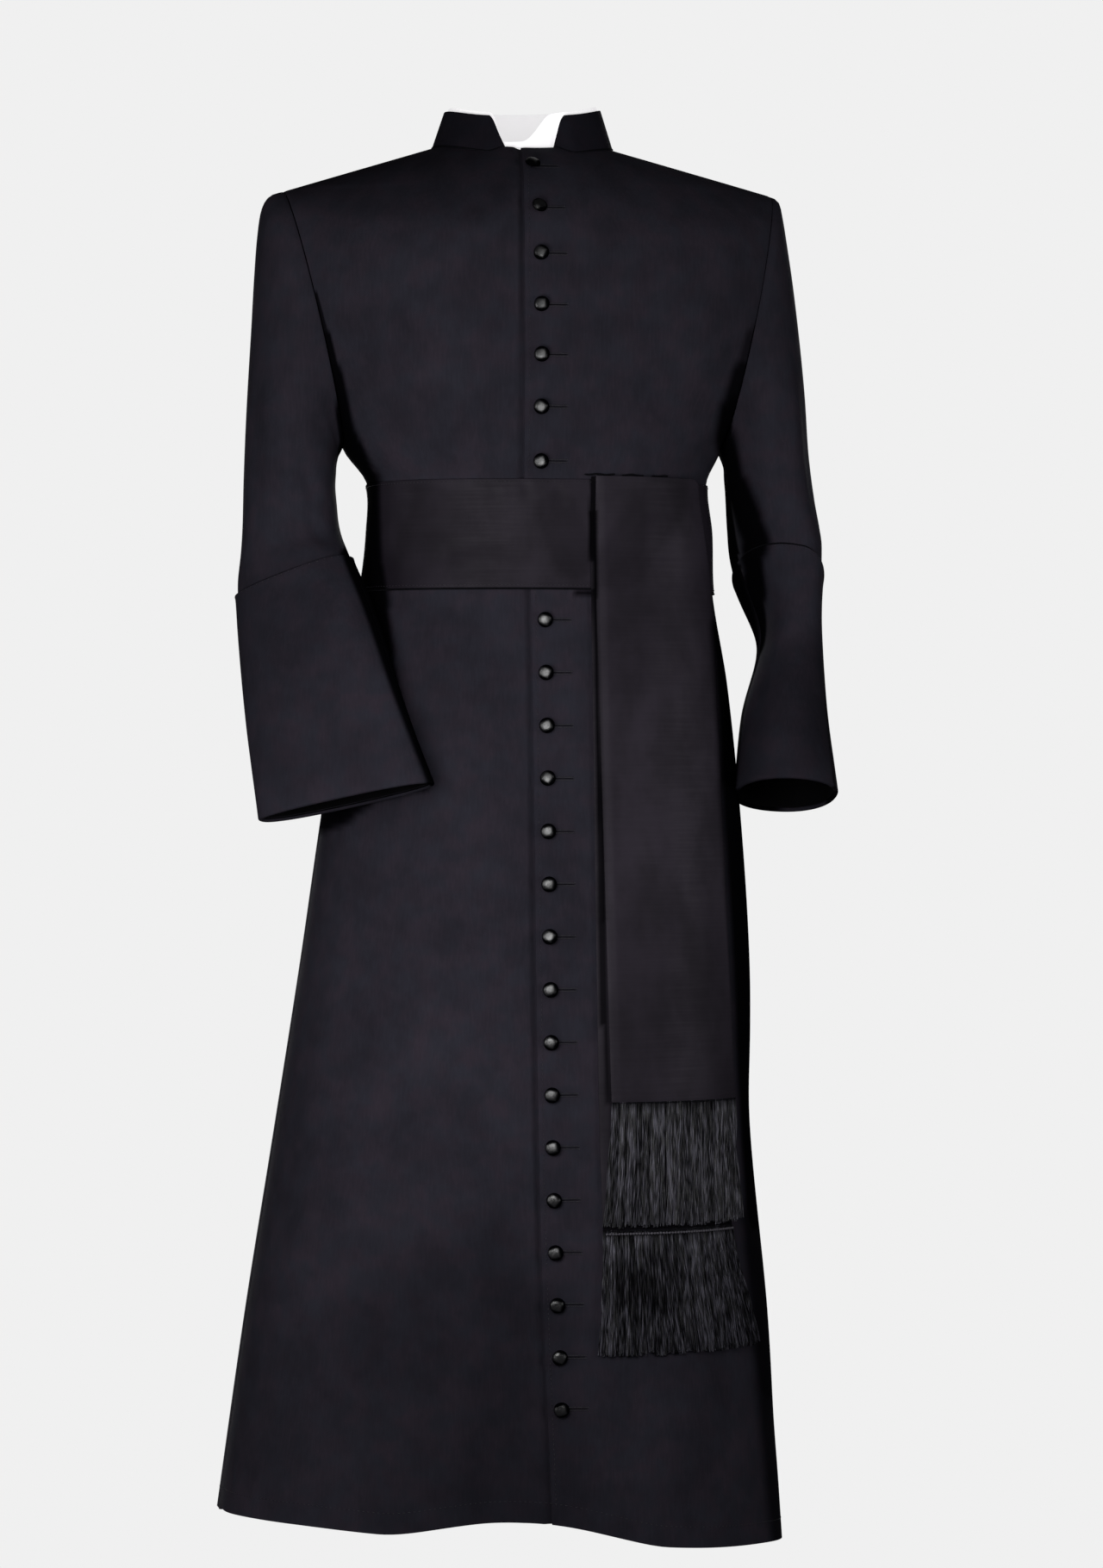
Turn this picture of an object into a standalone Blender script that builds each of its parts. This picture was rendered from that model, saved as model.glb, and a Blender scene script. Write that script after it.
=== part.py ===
"""A buttoned cassock with a fringed sash, filled out as it is worn.

Every piece is a closed wall of cloth. Metres, +Z up. The origin lies in the middle of the neck
opening, level with the side neck seams. The fronts face -Y, and the wearer's left is +X.
"""
from math import cos, pi, radians, sin, sqrt
from typing import NamedTuple

import bmesh
import bpy
import numpy as np
from mathutils import Matrix, Vector

# ---- Driving sizes ---------------------------------------------------------------------------
WALL = 0.0020            # the cassock's cloth
SILK_WALL = 0.0015       # the sash and its streamers
LINEN_WALL = 0.0012      # the white neckband
SEAM_GAP = 0.0003        # air between two pieces at a seam
FACE_GAP = 0.0006        # air between two pieces that lie on each other

NECK_HALF = 0.095        # half the neck opening's width at its seam
NECK_FRONT = 0.080       # neck seam ahead of the neck's centre
NECK_BACK = 0.068        # and behind it
NECK_CROWN_BACK = 0.5    # how much the back rises to the nape
NECK_RISE = 0.0045       # how far the seam rises between the collar's ends
NECK_RISE_REACH = 0.048  # half the width of that rise
NECK_RIDGE = 0.029       # height that the faces would reach across the neck
UNDERARM_Z = -0.312
ARMHOLE_DEPTH = 0.074    # half the armhole's front-to-back size
ROUNDING_FRONT = 0.120   # height over which the chest rounds back to the shoulder seam
ROUNDING_BACK = 0.105
HEM_Z = -1.437           # the hem at the origin's plane
HEM_TILT = -0.066        # the hem falls towards the wearer's left
HEM_FRONT_RISE = 0.0155  # the front hem is cut this much shorter
HEM_MIDDLE_RISE = 0.017  # and this much more at the buttons
HEM_MIDDLE_REACH = 0.45  # share of the front over which that fades
SECTION_POWER = 2.35     # power of the body's rounded cross-sections

EDGE_TO_BUTTON = 0.014   # from the overlap's edge to the buttons' line
UNDERLAP = 0.030         # how far the under front reaches past the overlap's edge
STEP_WIDTH = 0.008       # over which the under front dips below the other
BUTTON_RADIUS = 0.0082
BUTTON_HEIGHT = 0.0064
BUTTON_PROFILE = ((0, 1), (0.62, 0.86), (0.95, 0.48), (0.86, 0), (0, 0))     # shares of both
BUTTON_SIDES = 10

SASH_TOP_Z = -0.350
SASH_BOTTOM_Z = -0.462
FRINGE_LENGTH = 0.124
FRINGE_HEAD = 0.006      # height of the strip that holds the strands
FRINGE_DEPTH = 0.0027    # thickness of that strip
FRINGE_CELLS = 51        # odd, so that both rows end on a strand

COLLAR_GAP = 0.0010      # air between the neck seam and the collar, whose columns differ
COLLAR_LEAN = 0.013      # how far the collar leans in from its seam to its top edge
COLLAR_THROAT_Z = 0.028  # height of its top edge at the throat
COLLAR_RISE = 0.016      # how much higher it is at the sides and back
COLLAR_TILT = 0.002      # and on the wearer's left
COLLAR_CORNER = 0.006    # how far its top corners are rounded off
COLLAR_COLUMNS = 36
COLLAR_HEIGHTS = (0.0, 0.3, 0.6, 0.82, 0.94, 1.0)
BAND_GAP = 0.0016        # air between the collar and the band inside it
BAND_STAND = 0.0035      # how far the white band stands above the collar
BAND_DIP = 0.030         # how far it dips at the throat
BAND_DIP_FROM, BAND_DIP_OVER = -0.050, 0.022     # x where the dip starts, and its slope's width
BAND_DIP_TO, BAND_DIP_BACK = 0.030, 0.040        # x where it ends, and that slope's width
BAND_COLUMNS = 48
BAND_HEIGHTS = (0.0, 0.35, 0.7, 1.0)

FRONT, BACK = -1, 1      # the sign of y on each face
LEFT, RIGHT = 1, -1      # the wearer's sides, as the sign of x


class Shoulder(NamedTuple):
    """A shoulder seam."""
    reach: float         # from the middle to the armhole seam
    slope: float         # its fall for each metre outwards


SHOULDERS = {LEFT: Shoulder(reach=0.262, slope=0.264), RIGHT: Shoulder(reach=0.250, slope=0.305)}


class CollarEnd(NamedTuple):
    """Where the collar ends beside the throat."""
    foot: float          # from the middle, at the seam
    lean: float          # how much further out its top is


COLLAR_ENDS = {LEFT: CollarEnd(foot=0.024, lean=0.005), RIGHT: CollarEnd(foot=0.026, lean=0.013)}


class Level(NamedTuple):
    """One horizontal section of the body."""
    z: float
    centre: float
    half_width: float
    front: float
    back: float


LEVELS = (
    Level(z=0.030, centre=0.0000, half_width=0.2500, front=0.120, back=0.113),
    Level(z=-0.047, centre=0.0000, half_width=0.2500, front=0.122, back=0.116),
    Level(z=-0.150, centre=0.0040, half_width=0.2300, front=0.126, back=0.120),
    Level(z=-0.230, centre=0.0070, half_width=0.2140, front=0.128, back=0.120),
    Level(z=-0.312, centre=0.0100, half_width=0.1975, front=0.125, back=0.114),
    Level(z=-0.348, centre=0.0150, half_width=0.1775, front=0.120, back=0.106),
    Level(z=-0.400, centre=0.0178, half_width=0.1793, front=0.117, back=0.102),
    Level(z=-0.462, centre=0.0150, half_width=0.1840, front=0.120, back=0.106),
    Level(z=-0.560, centre=0.0130, half_width=0.2020, front=0.129, back=0.124),
    Level(z=-0.706, centre=0.0090, half_width=0.2205, front=0.143, back=0.147),
    Level(z=-0.850, centre=0.0028, half_width=0.2350, front=0.158, back=0.166),
    Level(z=-1.030, centre=-0.0108, half_width=0.2495, front=0.177, back=0.188),
    Level(z=-1.210, centre=-0.0170, half_width=0.2720, front=0.194, back=0.208),
    Level(z=-1.450, centre=-0.0260, half_width=0.2970, front=0.210, back=0.230),
)


class EdgePoint(NamedTuple):
    """Where the buttons' line lies at a height."""
    z: float
    x: float


BUTTON_LINE = (
    EdgePoint(z=0.000, x=-0.0030),
    EdgePoint(z=-0.100, x=0.0025),
    EdgePoint(z=-0.330, x=0.0030),
    EdgePoint(z=-0.490, x=0.0070),
    EdgePoint(z=-1.080, x=0.0085),
    EdgePoint(z=-1.450, x=0.0195),
)


class Flute(NamedTuple):
    """One soft fold that grows down the skirt: a ridge if out is positive."""
    face: int
    across: float        # place from -1 at the wearer's right seam to 1 at the left one
    spread: float        # half its width, on the same measure
    out: float           # at the hem
    start_z: float


FLUTES = (
    Flute(face=FRONT, across=-0.44, spread=0.34, out=0.012, start_z=-0.62),
    Flute(face=FRONT, across=0.62, spread=0.30, out=0.013, start_z=-0.66),
    Flute(face=FRONT, across=0.05, spread=0.30, out=-0.012, start_z=-0.70),
    Flute(face=BACK, across=-0.60, spread=0.24, out=0.016, start_z=-0.60),
    Flute(face=BACK, across=-0.22, spread=0.24, out=-0.010, start_z=-0.66),
    Flute(face=BACK, across=0.16, spread=0.24, out=0.015, start_z=-0.58),
    Flute(face=BACK, across=0.56, spread=0.24, out=0.014, start_z=-0.64),
)

# Heights of the rows from the underarm to the hem.
BODY_ROWS = (-0.312, -0.330, -0.350, -0.378, -0.406, -0.434, -0.462, -0.505, -0.560, -0.630, -0.710,
             -0.800, -0.900, -1.010, -1.130, -1.250, -1.350, HEM_Z)
CHEST_ROWS = 9
PANEL_COLUMNS = 11
NECK_COLUMNS = 5


class Ring(NamedTuple):
    """One section of a sleeve: its outer and inner points, and how deep it is front to back."""
    outer: tuple
    inner: tuple
    depth: float         # half of it
    turn: float          # degrees that the front turns towards the outer side
    pitch: float         # how much higher the front is than the middle
    power: float         # 2 is an ellipse, more is squarer


RIGHT_SLEEVE = (
    Ring(outer=(-0.2640, 0.000, -0.0520), inner=(-0.1900, 0.000, -0.3160),
         depth=0.0745, turn=0, pitch=0.000, power=2.0),
    Ring(outer=(-0.2720, 0.000, -0.0640), inner=(-0.1915, 0.000, -0.3190),
         depth=0.0745, turn=0, pitch=0.000, power=2.0),
    Ring(outer=(-0.2765, 0.000, -0.0900), inner=(-0.1930, 0.000, -0.3220),
         depth=0.0740, turn=0, pitch=0.000, power=2.0),
    Ring(outer=(-0.2800, 0.000, -0.1350), inner=(-0.1940, 0.000, -0.3260),
         depth=0.0735, turn=0, pitch=0.000, power=2.0),
    Ring(outer=(-0.2830, 0.001, -0.1900), inner=(-0.1950, 0.001, -0.3320),
         depth=0.0730, turn=0, pitch=0.000, power=2.0),
    Ring(outer=(-0.2865, 0.002, -0.2500), inner=(-0.1955, 0.001, -0.3400),
         depth=0.0725, turn=0, pitch=0.000, power=2.1),
    Ring(outer=(-0.2895, 0.003, -0.3120), inner=(-0.1960, 0.001, -0.3550),
         depth=0.0710, turn=0, pitch=0.000, power=2.1),
    Ring(outer=(-0.2915, 0.004, -0.3720), inner=(-0.1940, -0.002, -0.3780),
         depth=0.0650, turn=0, pitch=0.002, power=2.2),
    Ring(outer=(-0.2920, 0.004, -0.4220), inner=(-0.1900, -0.022, -0.4020),
         depth=0.0550, turn=0, pitch=0.004, power=2.3),
    Ring(outer=(-0.2920, 0.000, -0.4620), inner=(-0.1850, -0.056, -0.4240),
         depth=0.0460, turn=0, pitch=0.006, power=2.4),
    Ring(outer=(-0.2905, -0.024, -0.5250), inner=(-0.1690, -0.110, -0.4900),
         depth=0.0370, turn=0, pitch=0.007, power=2.5),
    Ring(outer=(-0.2862, -0.054, -0.6100), inner=(-0.1460, -0.148, -0.5740),
         depth=0.0320, turn=0, pitch=0.008, power=2.5),
    Ring(outer=(-0.2785, -0.082, -0.6960), inner=(-0.1165, -0.170, -0.6580),
         depth=0.0290, turn=0, pitch=0.008, power=2.5),
)
LEFT_SLEEVE = (
    Ring(outer=(0.2700, 0.000, -0.0485), inner=(0.2090, 0.000, -0.3160),
         depth=0.0745, turn=0, pitch=0.000, power=2.0),
    Ring(outer=(0.2740, 0.000, -0.0640), inner=(0.2105, 0.000, -0.3190),
         depth=0.0745, turn=0, pitch=0.000, power=2.0),
    Ring(outer=(0.2783, 0.000, -0.0900), inner=(0.2118, 0.000, -0.3220),
         depth=0.0740, turn=0, pitch=0.000, power=2.0),
    Ring(outer=(0.2850, 0.000, -0.1350), inner=(0.2135, 0.000, -0.3260),
         depth=0.0735, turn=0, pitch=0.000, power=2.0),
    Ring(outer=(0.2918, 0.001, -0.1900), inner=(0.2155, 0.001, -0.3320),
         depth=0.0730, turn=0, pitch=0.000, power=2.0),
    Ring(outer=(0.2965, 0.003, -0.2500), inner=(0.2175, 0.003, -0.3420),
         depth=0.0725, turn=2, pitch=0.000, power=2.1),
    Ring(outer=(0.3000, 0.005, -0.3120), inner=(0.2205, 0.005, -0.3600),
         depth=0.0710, turn=4, pitch=0.002, power=2.1),
    Ring(outer=(0.3045, 0.007, -0.3650), inner=(0.2250, 0.007, -0.3880),
         depth=0.0690, turn=7, pitch=0.008, power=2.2),
    Ring(outer=(0.3075, 0.006, -0.4000), inner=(0.2300, 0.006, -0.4180),
         depth=0.0670, turn=10, pitch=0.014, power=2.3),
    Ring(outer=(0.3090, 0.002, -0.4270), inner=(0.2375, 0.003, -0.4440),
         depth=0.0650, turn=11, pitch=0.020, power=2.4),
    Ring(outer=(0.3085, -0.012, -0.5060), inner=(0.2550, -0.006, -0.5080),
         depth=0.0640, turn=8, pitch=0.018, power=2.5),
    Ring(outer=(0.3115, -0.032, -0.5900), inner=(0.2364, -0.028, -0.5860),
         depth=0.0690, turn=3, pitch=0.017, power=2.3),
    Ring(outer=(0.3200, -0.054, -0.6730), inner=(0.2265, -0.052, -0.6660),
         depth=0.0740, turn=0, pitch=0.017, power=2.2),
)
SLEEVE_SIDES = 16
CUFF_START = 9           # the ring at which the cuff's top edge lies
CUFF_GAP = 0.0005        # air between a sleeve and the cuff turned back over it


class StreamerEdge(NamedTuple):
    """Where a streamer's edges lie on the wearer's left front."""
    z: float
    inner: float
    outer: float


UPPER_STREAMER = (
    StreamerEdge(z=-0.346, inner=0.0590, outer=0.1720),
    StreamerEdge(z=-0.462, inner=0.0600, outer=0.1880),
    StreamerEdge(z=-0.620, inner=0.0635, outer=0.1920),
    StreamerEdge(z=-0.986, inner=0.0690, outer=0.2010),
)
LOWER_STREAMER = (
    StreamerEdge(z=-0.3475, inner=0.0545, outer=0.1700),
    StreamerEdge(z=-0.462, inner=0.0545, outer=0.1840),
    StreamerEdge(z=-0.986, inner=0.0550, outer=0.1940),
    StreamerEdge(z=-1.114, inner=0.0575, outer=0.1960),
)


class Layer(NamedTuple):
    """How a streamer lies, and how its fringe hangs."""
    lift: float          # of its outer side above the body
    fan_inner: float     # how far the fringe's inner strands stray towards the buttons
    fan_outer: float     # and its outer strands away from them
    seed: int            # of the strands' small differences


STREAMER_COLUMNS = 9
CLOTH_PITCH = FACE_GAP + SILK_WALL      # from one layer of silk to the next
LAYERS = {
    "lower": Layer(lift=2 * CLOTH_PITCH, fan_inner=0.006, fan_outer=0.024, seed=8),
    "upper": Layer(lift=3 * CLOTH_PITCH, fan_inner=0.008, fan_outer=0.006, seed=7),
}
STRAND_SWAY = 0.0003     # how far a strand's ends stray
STRAND_TRIM = 0.05       # share by which strands differ in length
STRAND_PARTS = (0.45, 0.55)

UPPER_BUTTON_Z = (-0.0275, -0.073, -0.1205, -0.173, -0.224, -0.277, -0.332)
LOWER_BUTTON_TOP = -0.494
LOWER_BUTTON_BOTTOM = -1.290
LOWER_BUTTONS = 16
LOWER_BUTTON_SAG = 0.018 # how unevenly they are spaced, 0 for evenly


# ---- Small helpers ---------------------------------------------------------------------------
def blend(a, b, t):
    """The value a share t of the way from a to b."""
    return a + (b - a) * t


def signed_power(value, power):
    """A power that keeps the sign of its base."""
    return abs(value) ** power * (1 if value >= 0 else -1)


def ease(t):
    """0 below 0, 1 above 1, and smooth between."""
    t = min(1.0, max(0.0, t))
    return t * t * (3 - 2 * t)


def lookup(table, z, column):
    """A table's column at height z, on a smooth curve through its rows."""
    heights = [row.z for row in table]
    values = [getattr(row, column) for row in table]
    if z >= heights[0]:
        return values[0]
    if z <= heights[-1]:
        return values[-1]
    k = next(i for i in range(len(heights) - 1) if z >= heights[i + 1])

    def slope(i):
        if i in (0, len(heights) - 1):
            return 0.0 if i == 0 else (values[i] - values[i - 1]) / (heights[i] - heights[i - 1])
        return (values[i + 1] - values[i - 1]) / (heights[i + 1] - heights[i - 1])

    span = heights[k + 1] - heights[k]
    t = (z - heights[k]) / span
    return (values[k] * (1 + 2 * t) * (1 - t) ** 2 + slope(k) * span * t * (1 - t) ** 2
            + values[k + 1] * t * t * (3 - 2 * t) + slope(k + 1) * span * t * t * (t - 1))


def across(a, b):
    """The unit vector square to both."""
    product = a.cross(b)
    return product.normalized()


# ---- The body's surface ----------------------------------------------------------------------
def shoulder_z(x):
    """Height of the shoulder seam, from the side of the neck outwards."""
    return SHOULDERS[LEFT if x > 0 else RIGHT].slope * (NECK_HALF - abs(x))


def shoulder_tip(side):
    """The armhole seam's top."""
    x = side * SHOULDERS[side].reach
    return Vector((x, 0, shoulder_z(x)))


def underarm(side):
    """The armhole seam's lowest point."""
    row = next(level for level in LEVELS if level.z == UNDERARM_Z)
    return Vector((row.centre + side * row.half_width, 0, UNDERARM_Z))


def ridge_z(face, x):
    """Height that a face would reach at its top: the shoulder seam, crowned across the neck."""
    if abs(x) >= NECK_HALF:
        return shoulder_z(x)
    hollow = 1 - (x / NECK_HALF) ** 2
    crown = NECK_CROWN_BACK * hollow ** 2 if face == BACK else 0.0
    return NECK_RIDGE * (hollow / 2 + crown)


def armhole(side, angle):
    """A point of the armhole seam: angle 0 is its top, 90 degrees its front."""
    top, bottom = shoulder_tip(side), underarm(side)
    return ((top + bottom) / 2 + (top - bottom) / 2 * cos(angle)
            + Vector((0, FRONT * ARMHOLE_DEPTH, 0)) * sin(angle))


def armhole_share(side, z):
    """0 at the armhole's top, 1 at the underarm."""
    top = shoulder_tip(side).z
    return min(1.0, max(0.0, (z - top) / (UNDERARM_Z - top)))


def centre_at(z):
    """The middle of the body's section: above the underarm it runs straight to the shoulders."""
    if z > UNDERARM_Z:
        return lookup(LEVELS, UNDERARM_Z, "centre") * armhole_share(RIGHT, z)
    return lookup(LEVELS, z, "centre")


def rounding(face, x, z):
    """1 on the chest, falling to 0 at the shoulder line."""
    reach = ROUNDING_FRONT if face == FRONT else ROUNDING_BACK
    t = min(1.0, max(0.0, (ridge_z(face, x) - z) / reach))
    return sqrt(max(0.0, 1 - (1 - t) ** 2))


def half_width_at(face, x, z):
    """Half width of the section that passes through the armhole seam at this height."""
    if z <= UNDERARM_Z:
        return lookup(LEVELS, z, "half_width")
    side = LEFT if x > centre_at(z) else RIGHT
    share = armhole_share(side, z)
    seam_x = blend(shoulder_tip(side).x, underarm(side).x, share)
    edge = abs(seam_x - centre_at(z))
    full = lookup(LEVELS, z, "front" if face == FRONT else "back")
    seam_depth = ARMHOLE_DEPTH * sqrt(max(0.0, 1 - (1 - 2 * share) ** 2))
    edge_rounding = rounding(face, seam_x, min(z, shoulder_z(seam_x) - 1e-6))
    ratio = min(0.98, seam_depth / max(1e-9, full * edge_rounding)) if share > 1e-4 else 0.62
    return edge / (1 - ratio ** SECTION_POWER) ** (1 / SECTION_POWER)


def flute_out(face, x, z):
    """How far the skirt's soft folds stand out at a point."""
    place = (x - centre_at(z)) / lookup(LEVELS, min(z, UNDERARM_Z), "half_width")
    total = 0.0
    for flute in FLUTES:
        if flute.face == face and z < flute.start_z:
            grown = ((flute.start_z - z) / (flute.start_z - HEM_Z)) ** 1.3
            offset = (place - flute.across) / flute.spread
            total += flute.out * grown * max(0.0, 1 - offset * offset) ** 2
    return total


def body_point(face, x, z):
    """The point of the body's outer surface at x and z."""
    full = lookup(LEVELS, z, "front" if face == FRONT else "back")
    ratio = min(1.0, abs(x - centre_at(z)) / half_width_at(face, x, z))
    flat = full * (1 - ratio ** SECTION_POWER) ** (1 / SECTION_POWER)
    return Vector((x, face * (flat * rounding(face, x, z) + flute_out(face, x, z)), z))


def body_normal(face, x, z):
    """The outward direction there, from the surface's slopes a short way off."""
    step = 0.0004
    inward = -step if x > centre_at(z) else step
    along = (body_point(face, x + inward, z) - body_point(face, x, z)) / inward
    down = (body_point(face, x, z - step) - body_point(face, x, z)) / -step
    normal = across(along, down)
    return normal if normal.y * face > 0 else -normal


def neck_z(face, x):
    """Height of the neck seam: where the neck's upright tube meets the body."""
    depth = NECK_FRONT if face == FRONT else NECK_BACK
    reach = ROUNDING_FRONT if face == FRONT else ROUNDING_BACK
    y = depth * sqrt(max(0.0, 1 - (x / NECK_HALF) ** 2))
    z = ridge_z(face, x)
    for _ in range(3):
        full = lookup(LEVELS, z, "front" if face == FRONT else "back")
        tip = shoulder_tip(LEFT if x > 0 else RIGHT)
        ratio = min(1.0, abs(x) / half_width_at(face, x, min(z, tip.z)))
        flat = full * (1 - ratio ** SECTION_POWER) ** (1 / SECTION_POWER)
        z = ridge_z(face, x) - reach * (1 - sqrt(1 - min(0.999, y / flat) ** 2))
    if face == FRONT:
        z += NECK_RISE * ease(2 * (1 - abs(x) / NECK_RISE_REACH))
    return z


def overlap_edge(z):
    """x of the overlapping front's edge."""
    return lookup(BUTTON_LINE, z, "x") - EDGE_TO_BUTTON


def section_x(z, angle):
    """x of the section's point at this angle: 0 at the left seam, pi at the right."""
    return centre_at(z) + lookup(LEVELS, z, "half_width") * signed_power(cos(angle), 2 / SECTION_POWER)


def hem_drop(face, angle):
    """How much lower than HEM_Z the hem is, for a column that reaches it at this angle."""
    x = section_x(HEM_Z, angle)
    if face == BACK:
        return HEM_TILT * x
    middle = max(0.0, 1 - (cos(angle) / HEM_MIDDLE_REACH) ** 2) ** 2
    return HEM_TILT * x + HEM_FRONT_RISE * abs(sin(angle)) ** 0.4 + HEM_MIDDLE_RISE * middle


# ---- Panels ----------------------------------------------------------------------------------
def section_angle(x, z):
    """Angle on the section at z whose point has this x: 0 at the left seam, pi at the right."""
    share = (x - centre_at(z)) / lookup(LEVELS, z, "half_width")
    cosine = signed_power(share, SECTION_POWER / 2)
    return float(np.arccos(min(1.0, max(-1.0, cosine))))


def chest_share(row):
    """How far down the chest a row lies: the rows are closest where it rounds to the shoulder."""
    return (row / CHEST_ROWS) ** 1.7


def panel_spot(face, side, inner_edge, row, column):
    """x and z of a panel's grid point. Rows 0 to CHEST_ROWS lie above the underarm."""
    s = column / PANEL_COLUMNS
    neck_share = NECK_COLUMNS / PANEL_COLUMNS
    start = inner_edge(0.0)
    if column <= NECK_COLUMNS:
        x_top = blend(start, side * NECK_HALF, sin(pi / 2 * s / neck_share))
        z_top = neck_z(face, x_top) if column < NECK_COLUMNS else 0.0
    else:
        x_top = side * blend(NECK_HALF, SHOULDERS[side].reach, (s - neck_share) / (1 - neck_share))
        z_top = shoulder_z(x_top)
    seam_angle = 0.0 if side == LEFT else pi

    def spread_x(z):
        return section_x(z, blend(section_angle(inner_edge(z), z), seam_angle, s))

    if row <= CHEST_ROWS:
        v = chest_share(row)
        z = blend(z_top, UNDERARM_Z, v)
        drift = inner_edge(z) - blend(start, inner_edge(UNDERARM_Z), v)
        return blend(x_top, spread_x(UNDERARM_Z), v) + (1 - s) * drift, z
    nominal = BODY_ROWS[row - CHEST_ROWS]
    hem_angle = blend(section_angle(inner_edge(HEM_Z), HEM_Z), seam_angle, s)
    fall = ((nominal - UNDERARM_Z) / (HEM_Z - UNDERARM_Z)) ** 2
    z = nominal + hem_drop(face, hem_angle) * fall
    return spread_x(z), z


def panel_grid(face, side, inner_edge):
    """Outer points and outward directions of one panel, a list of rows of (point, direction)."""
    rows = CHEST_ROWS + len(BODY_ROWS)
    grid = []
    for row in range(rows):
        line = []
        for column in range(PANEL_COLUMNS + 1):
            x, z = panel_spot(face, side, inner_edge, row, column)
            at_seam = column == PANEL_COLUMNS and row >= CHEST_ROWS
            on_ridge = row == 0 and column >= NECK_COLUMNS
            if at_seam:
                point, normal = Vector((x, 0, z)), Vector((side, 0, 0))
            elif on_ridge:
                slope = SHOULDERS[side].slope
                point, normal = Vector((x, 0, z)), Vector((side * slope, 0, 1)).normalized()
            else:
                point, normal = body_point(face, x, z), body_normal(face, x, z)
            line.append((point + Vector((0, face * SEAM_GAP / 2, 0)), normal))
        grid.append(line)
    return grid


def new_object(name, bm, material):
    """Finish a bmesh as a named object."""
    mesh = bpy.data.meshes.new(name)
    bmesh.ops.recalc_face_normals(bm, faces=bm.faces)
    bm.to_mesh(mesh)
    bm.free()
    mesh.materials.append(material)
    mesh.shade_smooth()
    mesh.set_sharp_from_angle(angle=radians(40))
    obj = bpy.data.objects.new(name, mesh)
    bpy.context.collection.objects.link(obj)
    return obj


def wall(name, outer, inner, material, closed=False):
    """A closed wall between two grids of points; a closed grid joins its last column to its first."""
    bm = bmesh.new()
    sheets = [[[bm.verts.new(p) for p in line] for line in grid] for grid in (outer, inner)]
    rows, columns = len(outer), len(outer[0])
    spans = columns if closed else columns - 1
    for sheet in sheets:
        for i in range(rows - 1):
            for j in range(spans):
                k = (j + 1) % columns
                bm.faces.new((sheet[i][j], sheet[i][k], sheet[i + 1][k], sheet[i + 1][j]))
    out, into = sheets
    for i in (0, rows - 1):
        for j in range(spans):
            k = (j + 1) % columns
            bm.faces.new((out[i][j], out[i][k], into[i][k], into[i][j]))
    if not closed:
        for j in (0, columns - 1):
            for i in range(rows - 1):
                bm.faces.new((out[i][j], out[i + 1][j], into[i + 1][j], into[i][j]))
    return new_object(name, bm, material)


def thickened(name, grid, thickness, material, closed=False, lift=0.0):
    """A wall whose outer points are the grid's, moved out by lift."""
    outer = [[p + n * lift for p, n in line] for line in grid]
    inner = [[p + n * (lift - thickness) for p, n in line] for line in grid]
    return wall(name, outer, inner, material, closed)


def under_front_grid():
    """The wearer's right front, with the strip that reaches under the other front."""
    grid = panel_grid(FRONT, RIGHT, lambda z: overlap_edge(z) - STEP_WIDTH - SEAM_GAP)
    below = WALL + FACE_GAP
    for row, line in enumerate(grid):
        first, normal = line[0]
        edge = overlap_edge(first.z)
        strip = []
        for x in (edge + UNDERLAP, edge - 3 * SEAM_GAP):
            z = blend(neck_z(FRONT, x), UNDERARM_Z, chest_share(row)) if row < CHEST_ROWS else first.z
            point = body_point(FRONT, x, z) + Vector((0, FRONT * SEAM_GAP / 2, 0))
            strip.append((point - body_normal(FRONT, x, z) * below, normal))
        line[:0] = strip
    return grid


# ---- Sleeves and cuffs -----------------------------------------------------------------------
def ring_points(ring, side, grow=0.0):
    """The points of a sleeve section, made larger all round by grow."""
    outer, inner = Vector(ring.outer), Vector(ring.inner)
    half = (outer - inner) / 2
    plan = Vector((half.x, half.y, 0)).normalized()
    forward = Vector((plan.y, -plan.x, 0)) * side
    forward.rotate(Matrix.Rotation(radians(ring.turn) * side, 3, "Z"))
    front = forward * (ring.depth + grow) + Vector((0, 0, ring.pitch))
    half = half * (1 + grow / half.length)
    share = 2 / ring.power
    return [(outer + inner) / 2
            + half * signed_power(cos(2 * pi * k / SLEEVE_SIDES), share)
            + front * signed_power(sin(2 * pi * k / SLEEVE_SIDES), share)
            for k in range(SLEEVE_SIDES)]


def tube_grid(rings):
    """Points and outward directions of a tube through rings of points."""
    grid = []
    for i, ring in enumerate(rings):
        centre = sum(ring, Vector()) / len(ring)
        above, below = rings[max(0, i - 1)], rings[min(len(rings) - 1, i + 1)]
        line = []
        for k, point in enumerate(ring):
            along = ring[(k + 1) % len(ring)] - ring[k - 1]
            normal = across(along, below[k] - above[k])
            line.append((point, normal if normal.dot(point - centre) > 0 else -normal))
        grid.append(line)
    return grid


def sleeve_rings(side):
    """The sleeve's sections, from the armhole seam to the wrist."""
    plane = across(armhole(side, 0) - armhole(side, pi), Vector((0, 1, 0)))
    out = plane if plane.x * side > 0 else -plane
    seam = [armhole(side, 2 * pi * k / SLEEVE_SIDES) + out * 2 * SEAM_GAP for k in range(SLEEVE_SIDES)]
    table = LEFT_SLEEVE if side == LEFT else RIGHT_SLEEVE
    return [seam] + [ring_points(ring, side) for ring in table]


def sleeve(name, side, material):
    """A sleeve: a tube from the armhole to the wrist."""
    thickened(name, tube_grid(sleeve_rings(side)), WALL, material, closed=True)


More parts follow.
